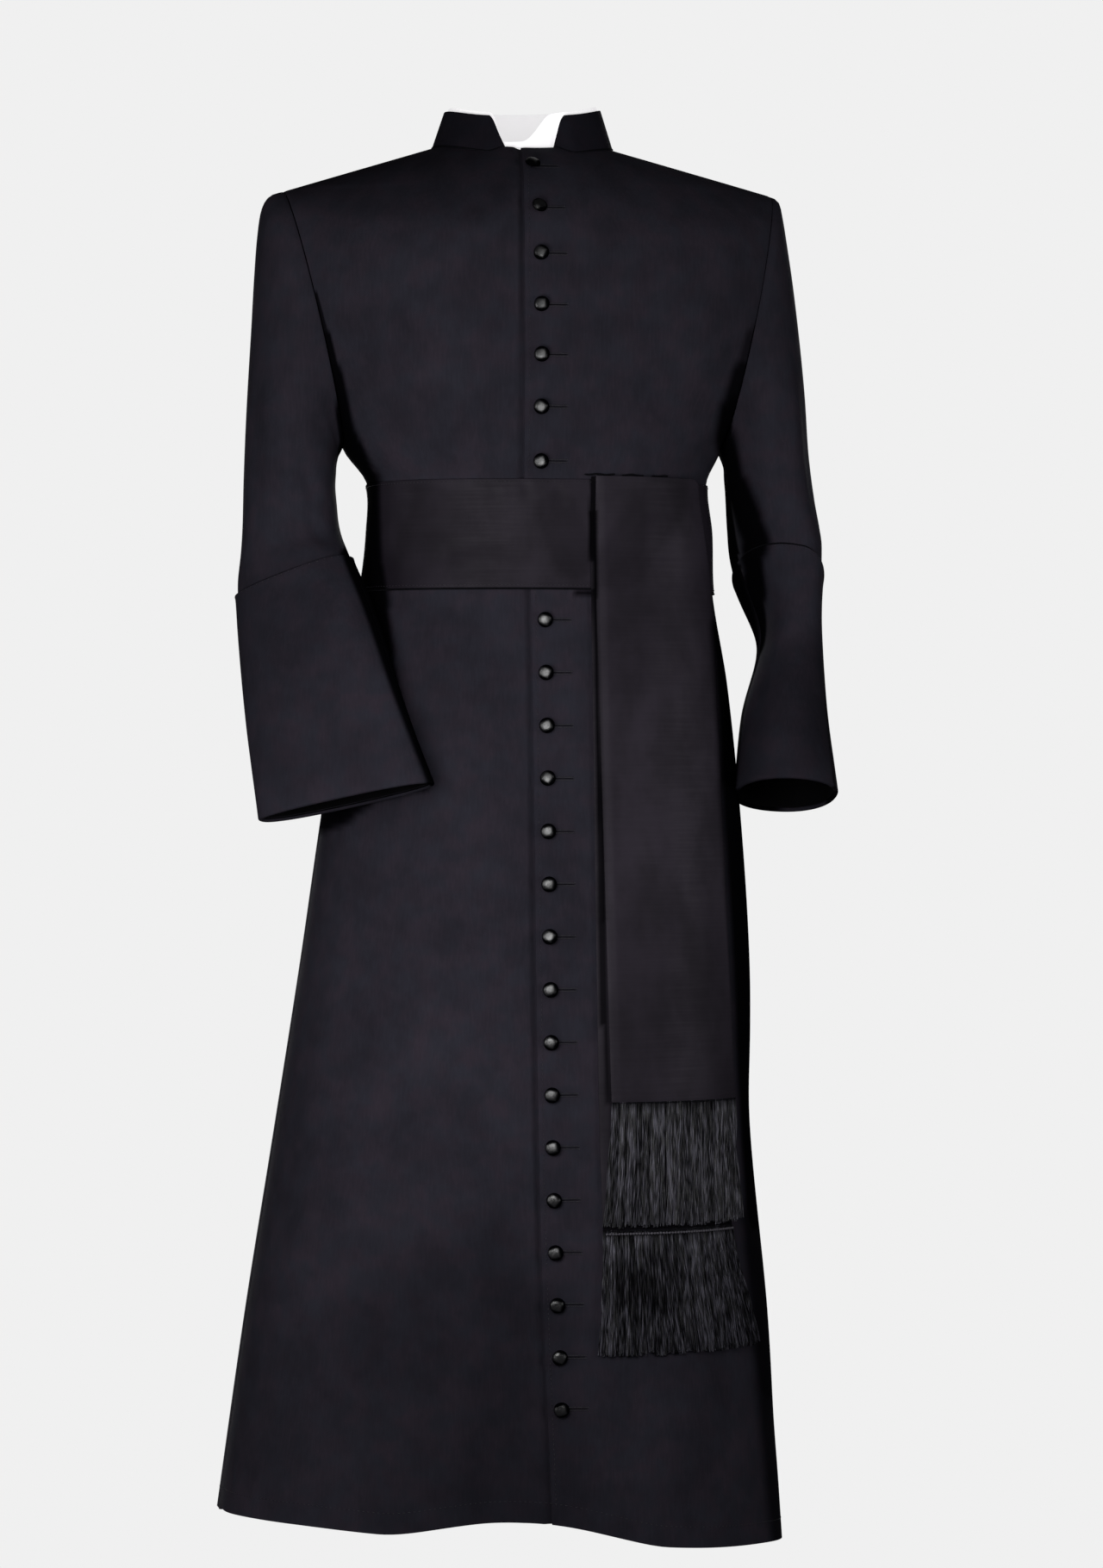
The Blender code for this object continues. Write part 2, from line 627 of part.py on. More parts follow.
def cuff(name, side, material):
    """A deep cuff, turned back over the sleeve's end."""
    grid = tube_grid(sleeve_rings(side))[CUFF_START + 1:]
    outer = [[p + n * (CUFF_GAP + WALL) for p, n in line] for line in grid]
    inner = [[p + n * CUFF_GAP for p, n in line] for line in grid]
    for sheet in (outer, inner):
        sheet[-1] = [low + (low - high).normalized() * 2 * WALL for high, low in zip(sheet[-2], sheet[-1])]
    wall(name, outer, inner, material, closed=True)


# ---- Collar and neckband ---------------------------------------------------------------------
def neck_point(angle, lean):
    """A point of the neck's tube: angle 0 is the front, and lean brings it inwards."""
    face, depth = (FRONT, NECK_FRONT) if cos(angle) > 0 else (BACK, NECK_BACK)
    x = NECK_HALF * sin(angle)
    seam = body_point(face, x, neck_z(face, x))
    return Vector((seam.x * (1 - lean / NECK_HALF), seam.y * (1 - lean / depth), seam.z))


def collar_top_z(angle):
    """Height of the collar's top edge: low at the throat, higher at the sides and back."""
    rise = COLLAR_RISE * (abs(sin(angle)) ** 3 if cos(angle) > 0 else 1.0)
    return COLLAR_THROAT_Z + rise + COLLAR_TILT * sin(angle)


def collar_spot(angle, v, inset):
    """A point on the collar, v of the way up, set in by inset."""
    base = neck_point(angle, inset)
    top = neck_point(angle, COLLAR_LEAN + inset)
    return Vector((blend(base.x, top.x, v), blend(base.y, top.y, v),
                   blend(base.z + COLLAR_GAP, collar_top_z(angle), v)))


def collar_end(end, v):
    """Angle of the collar's end, v of the way up."""
    x = end.foot + end.lean * v + COLLAR_CORNER * v ** 8
    return float(np.arcsin(x / (NECK_HALF - COLLAR_LEAN * v)))


def collar(material):
    """The standing collar, open at the throat with rounded corners."""
    outer, inner = [], []
    for v in COLLAR_HEIGHTS:
        first = collar_end(COLLAR_ENDS[LEFT], v)
        last = 2 * pi - collar_end(COLLAR_ENDS[RIGHT], v)
        angles = [blend(first, last, j / COLLAR_COLUMNS) for j in range(COLLAR_COLUMNS + 1)]
        outer.append([collar_spot(a, v, 0.0) for a in angles])
        inner.append([collar_spot(a, v, WALL) for a in angles])
    wall("collar", outer, inner, material)


def band_top_z(angle):
    """The white band's top edge: above the collar, but dipping at the throat."""
    x = NECK_HALF * (sin(angle) if cos(angle) > 0 else 1.0)
    dip = ease((x - BAND_DIP_FROM) / BAND_DIP_OVER) * ease((BAND_DIP_TO - x) / BAND_DIP_BACK)
    return collar_top_z(angle) + BAND_STAND - BAND_DIP * dip


def neckband(material):
    """The white band inside the collar."""
    outer, inner = [], []
    for v in BAND_HEIGHTS:
        for sheet, inset in ((outer, WALL + BAND_GAP), (inner, WALL + BAND_GAP + LINEN_WALL)):
            line = []
            for j in range(BAND_COLUMNS):
                angle = 2 * pi * j / BAND_COLUMNS
                foot = collar_spot(angle, 0, inset + FACE_GAP)
                height = blend(foot.z, band_top_z(angle), v)
                full = (height - foot.z) / (collar_top_z(angle) - foot.z)
                spot = collar_spot(angle, max(0.0, full), inset)
                line.append(Vector((spot.x, spot.y, height)))
            sheet.append(line)
    wall("neckband", outer, inner, material, closed=True)


# ---- Sash, streamers and fringes -------------------------------------------------------------
def body_loop(row):
    """One row of the body's outer points, all the way round."""
    left = panel_grid(FRONT, LEFT, overlap_edge)[row]
    right = panel_grid(FRONT, RIGHT, overlap_edge)[row]
    back_left = panel_grid(BACK, LEFT, centre_at)[row]
    back_right = panel_grid(BACK, RIGHT, centre_at)[row]
    return right[::-1][:-1] + left[:-1] + back_left[::-1][:-1] + back_right[:-1]


def sash(material):
    """The sash: a band made from the body's own points, moved out."""
    rows = [CHEST_ROWS + k for k, z in enumerate(BODY_ROWS) if SASH_BOTTOM_Z <= z <= SASH_TOP_Z]
    grid = [body_loop(row) for row in rows]
    thickened("sash", grid, SILK_WALL, material, closed=True, lift=FACE_GAP + SILK_WALL)


def streamer_row(table, z, columns):
    """Points and directions across a streamer at height z."""
    inner, outer = lookup(table, z, "inner"), lookup(table, z, "outer")
    start, end = section_angle(inner, z), section_angle(outer, z)
    line = []
    for j in range(columns + 1):
        x = section_x(z, blend(start, end, j / columns))
        line.append((body_point(FRONT, x, z), body_normal(FRONT, x, z)))
    return line


def streamer(layer, table, material):
    """A streamer that falls from the sash's top edge, in rows at the sash's own heights."""
    top, bottom = table[0].z, table[-1].z
    heights = [top] + [z for z in BODY_ROWS if bottom < z < top] + [bottom]
    grid = [streamer_row(table, z, STREAMER_COLUMNS) for z in heights]
    thickened(f"streamer_{layer}", grid, SILK_WALL, material, lift=LAYERS[layer].lift)


def fringe_head(bm, layer, table):
    """The strip that holds the strands. Returns the faces that they grow from, with each one's cell."""
    depths = [layer.lift - SILK_WALL + FRINGE_DEPTH * k / 3 for k in range(4)]
    top = table[-1].z - SEAM_GAP
    levels = []
    for z in (top, top - FRINGE_HEAD):
        line = streamer_row(table, z, FRINGE_CELLS)
        levels.append([[bm.verts.new(p + n * depth) for p, n in line] for depth in depths])
    above, below = levels
    feet = []
    for j in range(FRINGE_CELLS):
        for i in range(3):
            bm.faces.new((above[i][j], above[i][j + 1], above[i + 1][j + 1], above[i + 1][j]))
            face = bm.faces.new((below[i][j], below[i][j + 1], below[i + 1][j + 1], below[i + 1][j]))
            if (i, j % 2) in ((0, 0), (2, 1)):
                feet.append((face, j))
        for i in (0, 3):
            bm.faces.new((above[i][j], above[i][j + 1], below[i][j + 1], below[i][j]))
    for j in (0, FRINGE_CELLS):
        for i in range(3):
            bm.faces.new((above[i][j], above[i + 1][j], below[i + 1][j], below[i][j]))
    bmesh.ops.recalc_face_normals(bm, faces=bm.faces)
    return feet


def fringe(name, layer, table, material):
    """Silk strands that hang from a narrow strip below a streamer's end."""
    chance = np.random.default_rng(layer.seed)
    bm = bmesh.new()
    for face, cell in fringe_head(bm, layer, table):
        length = (FRINGE_LENGTH - FRINGE_HEAD) * (1 - STRAND_TRIM * chance.random())
        stray = blend(-layer.fan_inner, layer.fan_outer, cell / FRINGE_CELLS)
        start = face.calc_center_median()
        fall = (body_point(FRONT, start.x + stray, start.z - length) - body_point(FRONT, start.x, start.z))
        for part in STRAND_PARTS:
            made = bmesh.ops.extrude_face_region(bm, geom=[face])["geom"]
            bmesh.ops.delete(bm, geom=[face], context="FACES_ONLY")
            verts = [v for v in made if isinstance(v, bmesh.types.BMVert)]
            face = next(f for f in made if isinstance(f, bmesh.types.BMFace))
            sway = Vector((chance.uniform(-1, 1) * STRAND_SWAY, 0, 0))
            bmesh.ops.translate(bm, verts=verts, vec=fall * part + sway)
    new_object(name, bm, material)


# ---- Buttons ---------------------------------------------------------------------------------
def button(name, z, material):
    """A domed, cloth-covered button on the overlapping front."""
    x = lookup(BUTTON_LINE, z, "x")
    seat = body_point(FRONT, x, z)
    normal = body_normal(FRONT, x, z)
    bm = bmesh.new()
    verts = [bm.verts.new((r * BUTTON_RADIUS, 0, h * BUTTON_HEIGHT)) for r, h in BUTTON_PROFILE]
    edges = [bm.edges.new(pair) for pair in zip(verts, verts[1:])]
    bmesh.ops.spin(bm, geom=verts + edges, axis=(0, 0, 1), cent=(0, 0, 0), steps=BUTTON_SIDES,
                   angle=2 * pi, use_merge=True)
    bmesh.ops.remove_doubles(bm, verts=bm.verts, dist=1e-5)
    turn = normal.to_track_quat("Z", "Y").to_matrix().to_4x4()
    bmesh.ops.transform(bm, verts=bm.verts, matrix=turn)
    obj = new_object(name, bm, material)
    obj.location = seat + normal * 2 * FACE_GAP


def lower_button_heights():
    """Heights of the buttons below the sash."""
    heights = []
    for k in range(LOWER_BUTTONS):
        t = k / (LOWER_BUTTONS - 1)
        heights.append(blend(LOWER_BUTTON_TOP, LOWER_BUTTON_BOTTOM, t) - LOWER_BUTTON_SAG * t * (1 - t))
    return tuple(heights)


# ---- Materials and assembly ------------------------------------------------------------------
def finish(name, colour, roughness):
    """A plain material."""
    material = bpy.data.materials.new(name)
    material.use_nodes = True
    shader = material.node_tree.nodes["Principled BSDF"]
    shader.inputs["Base Color"].default_value = (*colour, 1)
    shader.inputs["Roughness"].default_value = roughness
    shader.inputs["Metallic"].default_value = 0.0
    return material


def main():
    for obj in list(bpy.data.objects):
        bpy.data.objects.remove(obj)
    cloth = finish("black_cloth", (0.016, 0.015, 0.020), 0.85)
    silk = finish("black_silk", (0.018, 0.016, 0.019), 0.55)
    fringe_silk = finish("fringe_silk", (0.035, 0.035, 0.045), 0.40)
    button_cloth = finish("button_cloth", (0.030, 0.029, 0.035), 0.45)
    linen = finish("white_linen", (0.86, 0.84, 0.85), 0.75)

    thickened("front_left", panel_grid(FRONT, LEFT, overlap_edge), WALL, cloth)
    thickened("front_right", under_front_grid(), WALL, cloth)
    for name, side in (("back_left", LEFT), ("back_right", RIGHT)):
        apart = Vector((side * SEAM_GAP / 2, 0, 0))
        grid = panel_grid(BACK, side, centre_at)
        for line in grid:
            line[0] = (line[0][0] + apart, line[0][1])
        thickened(name, grid, WALL, cloth)
    for side, word in ((LEFT, "left"), (RIGHT, "right")):
        sleeve(f"sleeve_{word}", side, cloth)
        cuff(f"cuff_{word}", side, cloth)
    collar(cloth)
    neckband(linen)
    sash(silk)
    for layer, table in (("upper", UPPER_STREAMER), ("lower", LOWER_STREAMER)):
        streamer(layer, table, silk)
        fringe(f"fringe_{layer}", LAYERS[layer], table, fringe_silk)
    for number, z in enumerate(UPPER_BUTTON_Z + lower_button_heights(), start=1):
        button(f"button_{number:02d}", z, button_cloth)


main()
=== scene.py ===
"""The looks of a buttoned cassock with a fringed sash, filled out as it is worn.

Each cut piece is a fine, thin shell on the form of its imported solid. Metres, +Z up. The origin
lies in the middle of the neck opening, the fronts face -Y, and the wearer's left is +X.
"""
import logging
from dataclasses import dataclass, field
from enum import IntEnum
from functools import partial
from math import cos, pi, radians, sin
from typing import Any, Callable, NamedTuple, Sequence

import bmesh
import bpy
import numpy as np
from mathutils import Matrix, Vector


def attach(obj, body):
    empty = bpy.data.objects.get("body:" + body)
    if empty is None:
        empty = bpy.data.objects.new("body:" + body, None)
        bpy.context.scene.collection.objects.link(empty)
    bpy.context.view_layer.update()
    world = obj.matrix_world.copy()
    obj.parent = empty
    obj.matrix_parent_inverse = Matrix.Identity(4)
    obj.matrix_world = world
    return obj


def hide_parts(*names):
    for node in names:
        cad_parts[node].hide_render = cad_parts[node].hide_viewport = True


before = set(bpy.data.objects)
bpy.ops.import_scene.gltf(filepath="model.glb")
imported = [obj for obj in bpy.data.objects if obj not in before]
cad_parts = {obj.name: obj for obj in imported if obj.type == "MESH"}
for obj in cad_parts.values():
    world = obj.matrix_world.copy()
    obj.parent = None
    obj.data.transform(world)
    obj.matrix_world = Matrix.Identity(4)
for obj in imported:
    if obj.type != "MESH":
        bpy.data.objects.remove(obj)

LOG = logging.getLogger("cassock")
BODY = "root"
TURN = 2 * pi
Array = np.ndarray
Point = tuple[float, float, float]
Colour = tuple[float, float, float]
Material = bpy.types.Material
Object = bpy.types.Object
BMesh = bmesh.types.BMesh
PaintedShade = Callable[[Array, Array, Array], Array]
Line = Callable[[Array, float], Array]


class Face(IntEnum):
    """Which way a panel faces, as the sign of y."""
    FRONT = -1
    BACK = 1


class Side(IntEnum):
    """The wearer's sides, as the sign of x."""
    LEFT = 1
    RIGHT = -1


# ---- Tables of the garment's form ----
class Level(NamedTuple):
    """One horizontal section of the body."""
    z: float
    centre: float
    half_width: float
    front: float
    back: float


LEVELS = (
    Level(0.030, 0.0000, 0.2500, 0.120, 0.113),
    Level(-0.047, 0.0000, 0.2500, 0.122, 0.116),
    Level(-0.150, 0.0040, 0.2300, 0.126, 0.120),
    Level(-0.230, 0.0070, 0.2140, 0.128, 0.120),
    Level(-0.312, 0.0100, 0.1975, 0.125, 0.114),
    Level(-0.348, 0.0150, 0.1775, 0.120, 0.106),
    Level(-0.400, 0.0178, 0.1793, 0.117, 0.102),
    Level(-0.462, 0.0150, 0.1840, 0.120, 0.106),
    Level(-0.560, 0.0130, 0.2020, 0.129, 0.124),
    Level(-0.706, 0.0090, 0.2205, 0.143, 0.147),
    Level(-0.850, 0.0028, 0.2350, 0.158, 0.166),
    Level(-1.030, -0.0108, 0.2495, 0.177, 0.188),
    Level(-1.210, -0.0170, 0.2720, 0.194, 0.208),
    Level(-1.450, -0.0260, 0.2970, 0.210, 0.230),
)


class EdgePoint(NamedTuple):
    """Where the buttons' line lies at a height."""
    z: float
    x: float


BUTTON_LINE = (
    EdgePoint(0.000, -0.0030),
    EdgePoint(-0.100, 0.0025),
    EdgePoint(-0.330, 0.0030),
    EdgePoint(-0.490, 0.0070),
    EdgePoint(-1.080, 0.0085),
    EdgePoint(-1.450, 0.0195),
)


class Shoulder(NamedTuple):
    """A shoulder seam: how far it reaches from the middle, and its fall for each metre."""
    reach: float
    slope: float


SHOULDERS = {Side.LEFT: Shoulder(0.262, 0.264), Side.RIGHT: Shoulder(0.250, 0.305)}


class Flute(NamedTuple):
    """One soft fold that grows down the skirt: a ridge if out is positive."""
    face: Face
    across: float
    spread: float
    out: float
    start_z: float


FLUTES = (
    Flute(Face.FRONT, -0.44, 0.34, 0.012, -0.62),
    Flute(Face.FRONT, 0.62, 0.30, 0.013, -0.66),
    Flute(Face.FRONT, 0.05, 0.30, -0.012, -0.70),
    Flute(Face.BACK, -0.60, 0.24, 0.016, -0.60),
    Flute(Face.BACK, -0.22, 0.24, -0.010, -0.66),
    Flute(Face.BACK, 0.16, 0.24, 0.015, -0.58),
    Flute(Face.BACK, 0.56, 0.24, 0.014, -0.64),
)


class Ring(NamedTuple):
    """One section of a sleeve: its outer and inner points, its depth, and how it turns and rounds."""
    outer: Point
    inner: Point
    depth: float
    turn: float = 0
    pitch: float = 0.000
    power: float = 2.0


RINGS = {
    Side.RIGHT: (
        Ring((-0.2640, 0.000, -0.0520), (-0.1900, 0.000, -0.3160), 0.0745),
        Ring((-0.2720, 0.000, -0.0640), (-0.1915, 0.000, -0.3190), 0.0745),
        Ring((-0.2765, 0.000, -0.0900), (-0.1930, 0.000, -0.3220), 0.0740),
        Ring((-0.2800, 0.000, -0.1350), (-0.1940, 0.000, -0.3260), 0.0735),
        Ring((-0.2830, 0.001, -0.1900), (-0.1950, 0.001, -0.3320), 0.0730),
        Ring((-0.2865, 0.002, -0.2500), (-0.1955, 0.001, -0.3400), 0.0725, 0, 0.000, 2.1),
        Ring((-0.2895, 0.003, -0.3120), (-0.1960, 0.001, -0.3550), 0.0710, 0, 0.000, 2.1),
        Ring((-0.2915, 0.004, -0.3720), (-0.1940, -0.002, -0.3780), 0.0650, 0, 0.002, 2.2),
        Ring((-0.2920, 0.004, -0.4220), (-0.1930, -0.022, -0.4020), 0.0550, 0, 0.004, 2.3),
        Ring((-0.2920, 0.000, -0.4620), (-0.1910, -0.056, -0.4240), 0.0460, 0, 0.006, 2.4),
        Ring((-0.2905, -0.024, -0.5250), (-0.1705, -0.110, -0.4900), 0.0370, 0, 0.007, 2.5),
        Ring((-0.2862, -0.054, -0.6100), (-0.1460, -0.148, -0.5740), 0.0320, 0, 0.006, 2.5),
        Ring((-0.2785, -0.082, -0.6960), (-0.1165, -0.170, -0.6580), 0.0290, 0, 0.0035, 2.5),
    ),
    Side.LEFT: (
        Ring((0.2700, 0.000, -0.0485), (0.2090, 0.000, -0.3160), 0.0745),
        Ring((0.2740, 0.000, -0.0640), (0.2105, 0.000, -0.3190), 0.0745),
        Ring((0.2783, 0.000, -0.0900), (0.2118, 0.000, -0.3220), 0.0740),
        Ring((0.2850, 0.000, -0.1350), (0.2135, 0.000, -0.3260), 0.0735),
        Ring((0.2918, 0.001, -0.1900), (0.2155, 0.001, -0.3320), 0.0730),
        Ring((0.2965, 0.003, -0.2500), (0.2175, 0.003, -0.3420), 0.0725, 2, 0.000, 2.1),
        Ring((0.3000, 0.005, -0.3120), (0.2205, 0.005, -0.3600), 0.0710, 4, 0.002, 2.1),
        Ring((0.3045, 0.007, -0.3650), (0.2250, 0.007, -0.3880), 0.0690, 7, 0.008, 2.2),
        Ring((0.3075, 0.006, -0.4000), (0.2300, 0.006, -0.4180), 0.0670, 10, 0.014, 2.3),
        Ring((0.3090, 0.002, -0.4270), (0.2375, 0.003, -0.4440), 0.0650, 11, 0.020, 2.4),
        Ring((0.3085, -0.012, -0.5060), (0.2550, -0.006, -0.5080), 0.0640, 8, 0.018, 2.5),
        Ring((0.3115, -0.032, -0.5900), (0.2318, -0.028, -0.5860), 0.0690, 3, 0.017, 2.3),
        Ring((0.3200, -0.054, -0.6730), (0.2185, -0.052, -0.6660), 0.0740, 0, 0.017, 2.2),
    ),
}


class StreamerEdge(NamedTuple):
    """Where a streamer's edges lie on the wearer's left front."""
    z: float
    inner: float
    outer: float


# How many silks deep each streamer lies, counting the sash.
LAYERS = {"lower": 2, "upper": 3}
STREAMERS = {
    "upper": (
        StreamerEdge(-0.346, 0.0590, 0.1700),
        StreamerEdge(-0.462, 0.0590, 0.1850),
        StreamerEdge(-0.620, 0.0615, 0.1892),
        StreamerEdge(-0.986, 0.0675, 0.2010),
    ),
    "lower": (
        StreamerEdge(-0.3475, 0.0545, 0.1680),
        StreamerEdge(-0.462, 0.0545, 0.1815),
        StreamerEdge(-0.986, 0.0550, 0.1940),
        StreamerEdge(-1.114, 0.0575, 0.1960),
    ),
}


# ---- Small helpers ----
def signed_power(value: Array, power: float | Array) -> Array:
    """A power that keeps the sign of its base."""
    return np.sign(value) * np.abs(value) ** power


def ease(t: Array | float) -> Array:
    """0 below 0, 1 above 1, and smooth between."""
    t = np.clip(t, 0.0, 1.0)
    return t * t * (3 - 2 * t)


class Curve:
    """A smooth curve through a table's rows, whose heights fall."""

    def __init__(self, knots: Sequence[float], values: Sequence[Any]) -> None:
        """Keeps the rows and works out the slope at each.

        Args:
            knots: the rows' heights, from the highest down.
            values: a number or a point for each row.
        """
        self.knots = np.array(knots, float)
        self.values = np.array(values, float)
        h, v = self.knots, self.values
        rest = (len(v) - 2,) + (1,) * (v.ndim - 1)
        self.slopes = np.zeros_like(v)
        self.slopes[1:-1] = (v[2:] - v[:-2]) / (h[2:] - h[:-2]).reshape(rest)
        self.slopes[-1] = (v[-1] - v[-2]) / (h[-1] - h[-2])

    def __call__(self, z: Array | float) -> Array:
        """The curve at each height.

        Args:
            z: heights; beyond the table they take its end rows.
        Returns:
            A value for each height.
        """
        z = np.clip(np.asarray(z, float), self.knots[-1], self.knots[0])
        k = np.clip(np.searchsorted(-self.knots, -z) - 1, 0, len(self.knots) - 2)
        shape = z.shape + (1,) * (self.values.ndim - 1)
        span = (self.knots[k + 1] - self.knots[k]).reshape(shape)
        t = (z - self.knots[k]).reshape(shape) / span
        return (self.values[k] * (1 + 2 * t) * (1 - t) ** 2
                + self.slopes[k] * span * t * (1 - t) ** 2
                + self.values[k + 1] * t * t * (3 - 2 * t)
                + self.slopes[k + 1] * span * t * t * (t - 1))


def unit(vectors: Array) -> Array:
    """The vectors, each one metre long."""
    return vectors / np.maximum(1e-12, np.linalg.norm(vectors, axis=-1, keepdims=True))


def arc(t: Array) -> Array:
    """Height of a round arc of radius 1, at a distance t from its middle."""
    return np.sqrt(np.clip(1 - t ** 2, 0, None))


def bell(t: Array) -> Array:
    """A smooth bell that is 1 at 0 and fades beyond 1."""
    return np.exp(-t ** 2)


def paired(x: Array | float, z: Array | float) -> tuple[Array, Array]:
    """x and z as arrays of one shape."""
    return np.broadcast_arrays(np.asarray(x, float), np.asarray(z, float))


def same(value: float, like: Array) -> Array:
    """One value for each place."""
    return np.full(np.shape(like), value)


# ---- Creases and painted shade ----
# A crease bows by a share of its length and fades over a share of it at each end. It has two lower
# ridges beside its trough: how high each is, and how many widths off it lies.
CREASE_BOW = 0.12
CREASE_FADE_IN = 0.35
CREASE_FADE_OUT = 0.45
CREASE_RIDGES = ((0.45, 1.5), (0.30, -1.6))
# A band of painted shade ends at this many widths from its line, and softens over this many.
SHADE_REACH = 1.35
SHADE_EDGE = 0.7


class Crease(NamedTuple):
    """One soft crease: a trough if depth is positive, between two places on a surface."""
    start: tuple[float, float]
    end: tuple[float, float]
    width: float
    depth: float


class Shade(NamedTuple):
    """A band of painted shade between two places, where folds, gaps and the sides turned from the lamps
    lie in shade.
    """
    start: tuple[float, float]
    end: tuple[float, float]
    width: float
    depth: float = 0.97


def creases(*rows: tuple[float, ...]) -> tuple[Crease, ...]:
    """Creases from rows of a start, an end, a width and a depth, in metres."""
    return tuple(Crease(row[:2], row[2:4], *row[4:]) for row in rows)


def shades(*rows: tuple[float, ...]) -> tuple[Shade, ...]:
    """Bands of painted shade from rows of a start, an end, a width and, where it isn't the darkest, a
    depth.
    """
    return tuple(Shade(row[:2], row[2:4], *row[4:]) for row in rows)


def relief(folds: Sequence[Crease], a: Array, b: Array) -> Array:
    """How far creases move a surface outwards.

    Args:
        folds: the creases, placed on the surface's two coordinates.
        a: first coordinate of each point, in metres.
        b: second coordinate.
    Returns:
        The distance outwards of each point.
    """
    total = np.zeros(np.broadcast(a, b).shape)
    for fold in folds:
        (a0, b0), (a1, b1) = fold.start, fold.end
        length = np.hypot(a1 - a0, b1 - b0)
        ua, ub = (a1 - a0) / length, (b1 - b0) / length
        along = ((a - a0) * ua + (b - b0) * ub) / length
        bow = CREASE_BOW * length * np.sin(pi * np.clip(along, 0, 1)) * np.sign(fold.depth)
        off = ((b - b0) * ua - (a - a0) * ub - bow) / fold.width
        shape = np.exp(-off * off)
        for height, place in CREASE_RIDGES:
            shape = shape - height * np.exp(-(off - place) ** 2)
        total -= fold.depth * ease(along / CREASE_FADE_IN) * ease((1 - along) / CREASE_FADE_OUT) * shape
    return total


def shading(bands: Sequence[Shade], a: Array, b: Array) -> Array:
    """How dark painted shade makes a surface.

    Args:
        bands: the bands of painted shade, placed on the surface's two coordinates.
        a: first coordinate of each point, in metres.
        b: second coordinate.
    Returns:
        0 for plain cloth and up to 1 for the darkest.
    """
    total = np.zeros(np.broadcast(a, b).shape)
    for band in bands:
        (a0, b0), (a1, b1) = band.start, band.end
        run_a, run_b = a1 - a0, b1 - b0
        along = ((a - a0) * run_a + (b - b0) * run_b) / (run_a ** 2 + run_b ** 2)
        along = np.clip(along, 0, 1)
        off = np.hypot(a - a0 - along * run_a, b - b0 - along * run_b)
        edge = ease((SHADE_REACH * band.width - off) / (SHADE_EDGE * band.width))
        total = np.maximum(total, band.depth * edge)
    return total


# Bands of painted shade and painted shadow on the front: beside and under the sleeves, under the sash,
# on the flanks, over the top of the chest and the foot of the skirt.
FRONT_SHADES = shades(
    (-0.2235, -0.16, -0.213, -0.2, 0.0024, 0.85), (-0.213, -0.2, -0.203, -0.24, 0.0046, 0.95),
    (-0.203, -0.24, -0.189, -0.298, 0.0075), (-0.189, -0.298, -0.166, -0.345, 0.008),
    (-0.168, -0.35, -0.166, -0.44, 0.015), (-0.164, -0.44, -0.16, -0.475, 0.014),
    (-0.16, -0.475, -0.1535, -0.529, 0.011), (-0.1535, -0.529, -0.14, -0.609, 0.0085),
    (-0.14, -0.609, -0.118, -0.66, 0.0075), (-0.22, -0.702, -0.195, -0.69, 0.013, 0.94),
    (-0.196, -0.69, -0.176, -0.676, 0.011, 0.9), (0.041, -0.466, 0.056, -0.4665, 0.0036, 0.9),
    (0.234, -0.2, 0.218, -0.262, 0.012, 0.62), (0.224, -0.238, 0.212, -0.282, 0.0165, 0.9),
    (0.214, -0.276, 0.213, -0.302, 0.0195), (-0.205, -0.045, -0.06, -0.05, 0.038, 0.24),
    (-0.09, -1.23, -0.06, -1.42, 0.12, 0.3), (0.1, -1.25, 0.12, -1.42, 0.1, 0.12),
    (0.219, -0.305, 0.203, -0.345, 0.01), (0.205, -0.36, 0.208, -0.5, 0.0125),
    (0.208, -0.5, 0.214, -0.66, 0.017), (0.214, -0.66, 0.2195, -0.76, 0.018),
    (0.2195, -0.76, 0.2285, -0.95, 0.018), (0.2285, -0.95, 0.237, -1.11, 0.018),
    (0.237, -1.11, 0.252, -1.28, 0.024, 0.85), (0.252, -1.28, 0.27, -1.44, 0.026, 0.75))
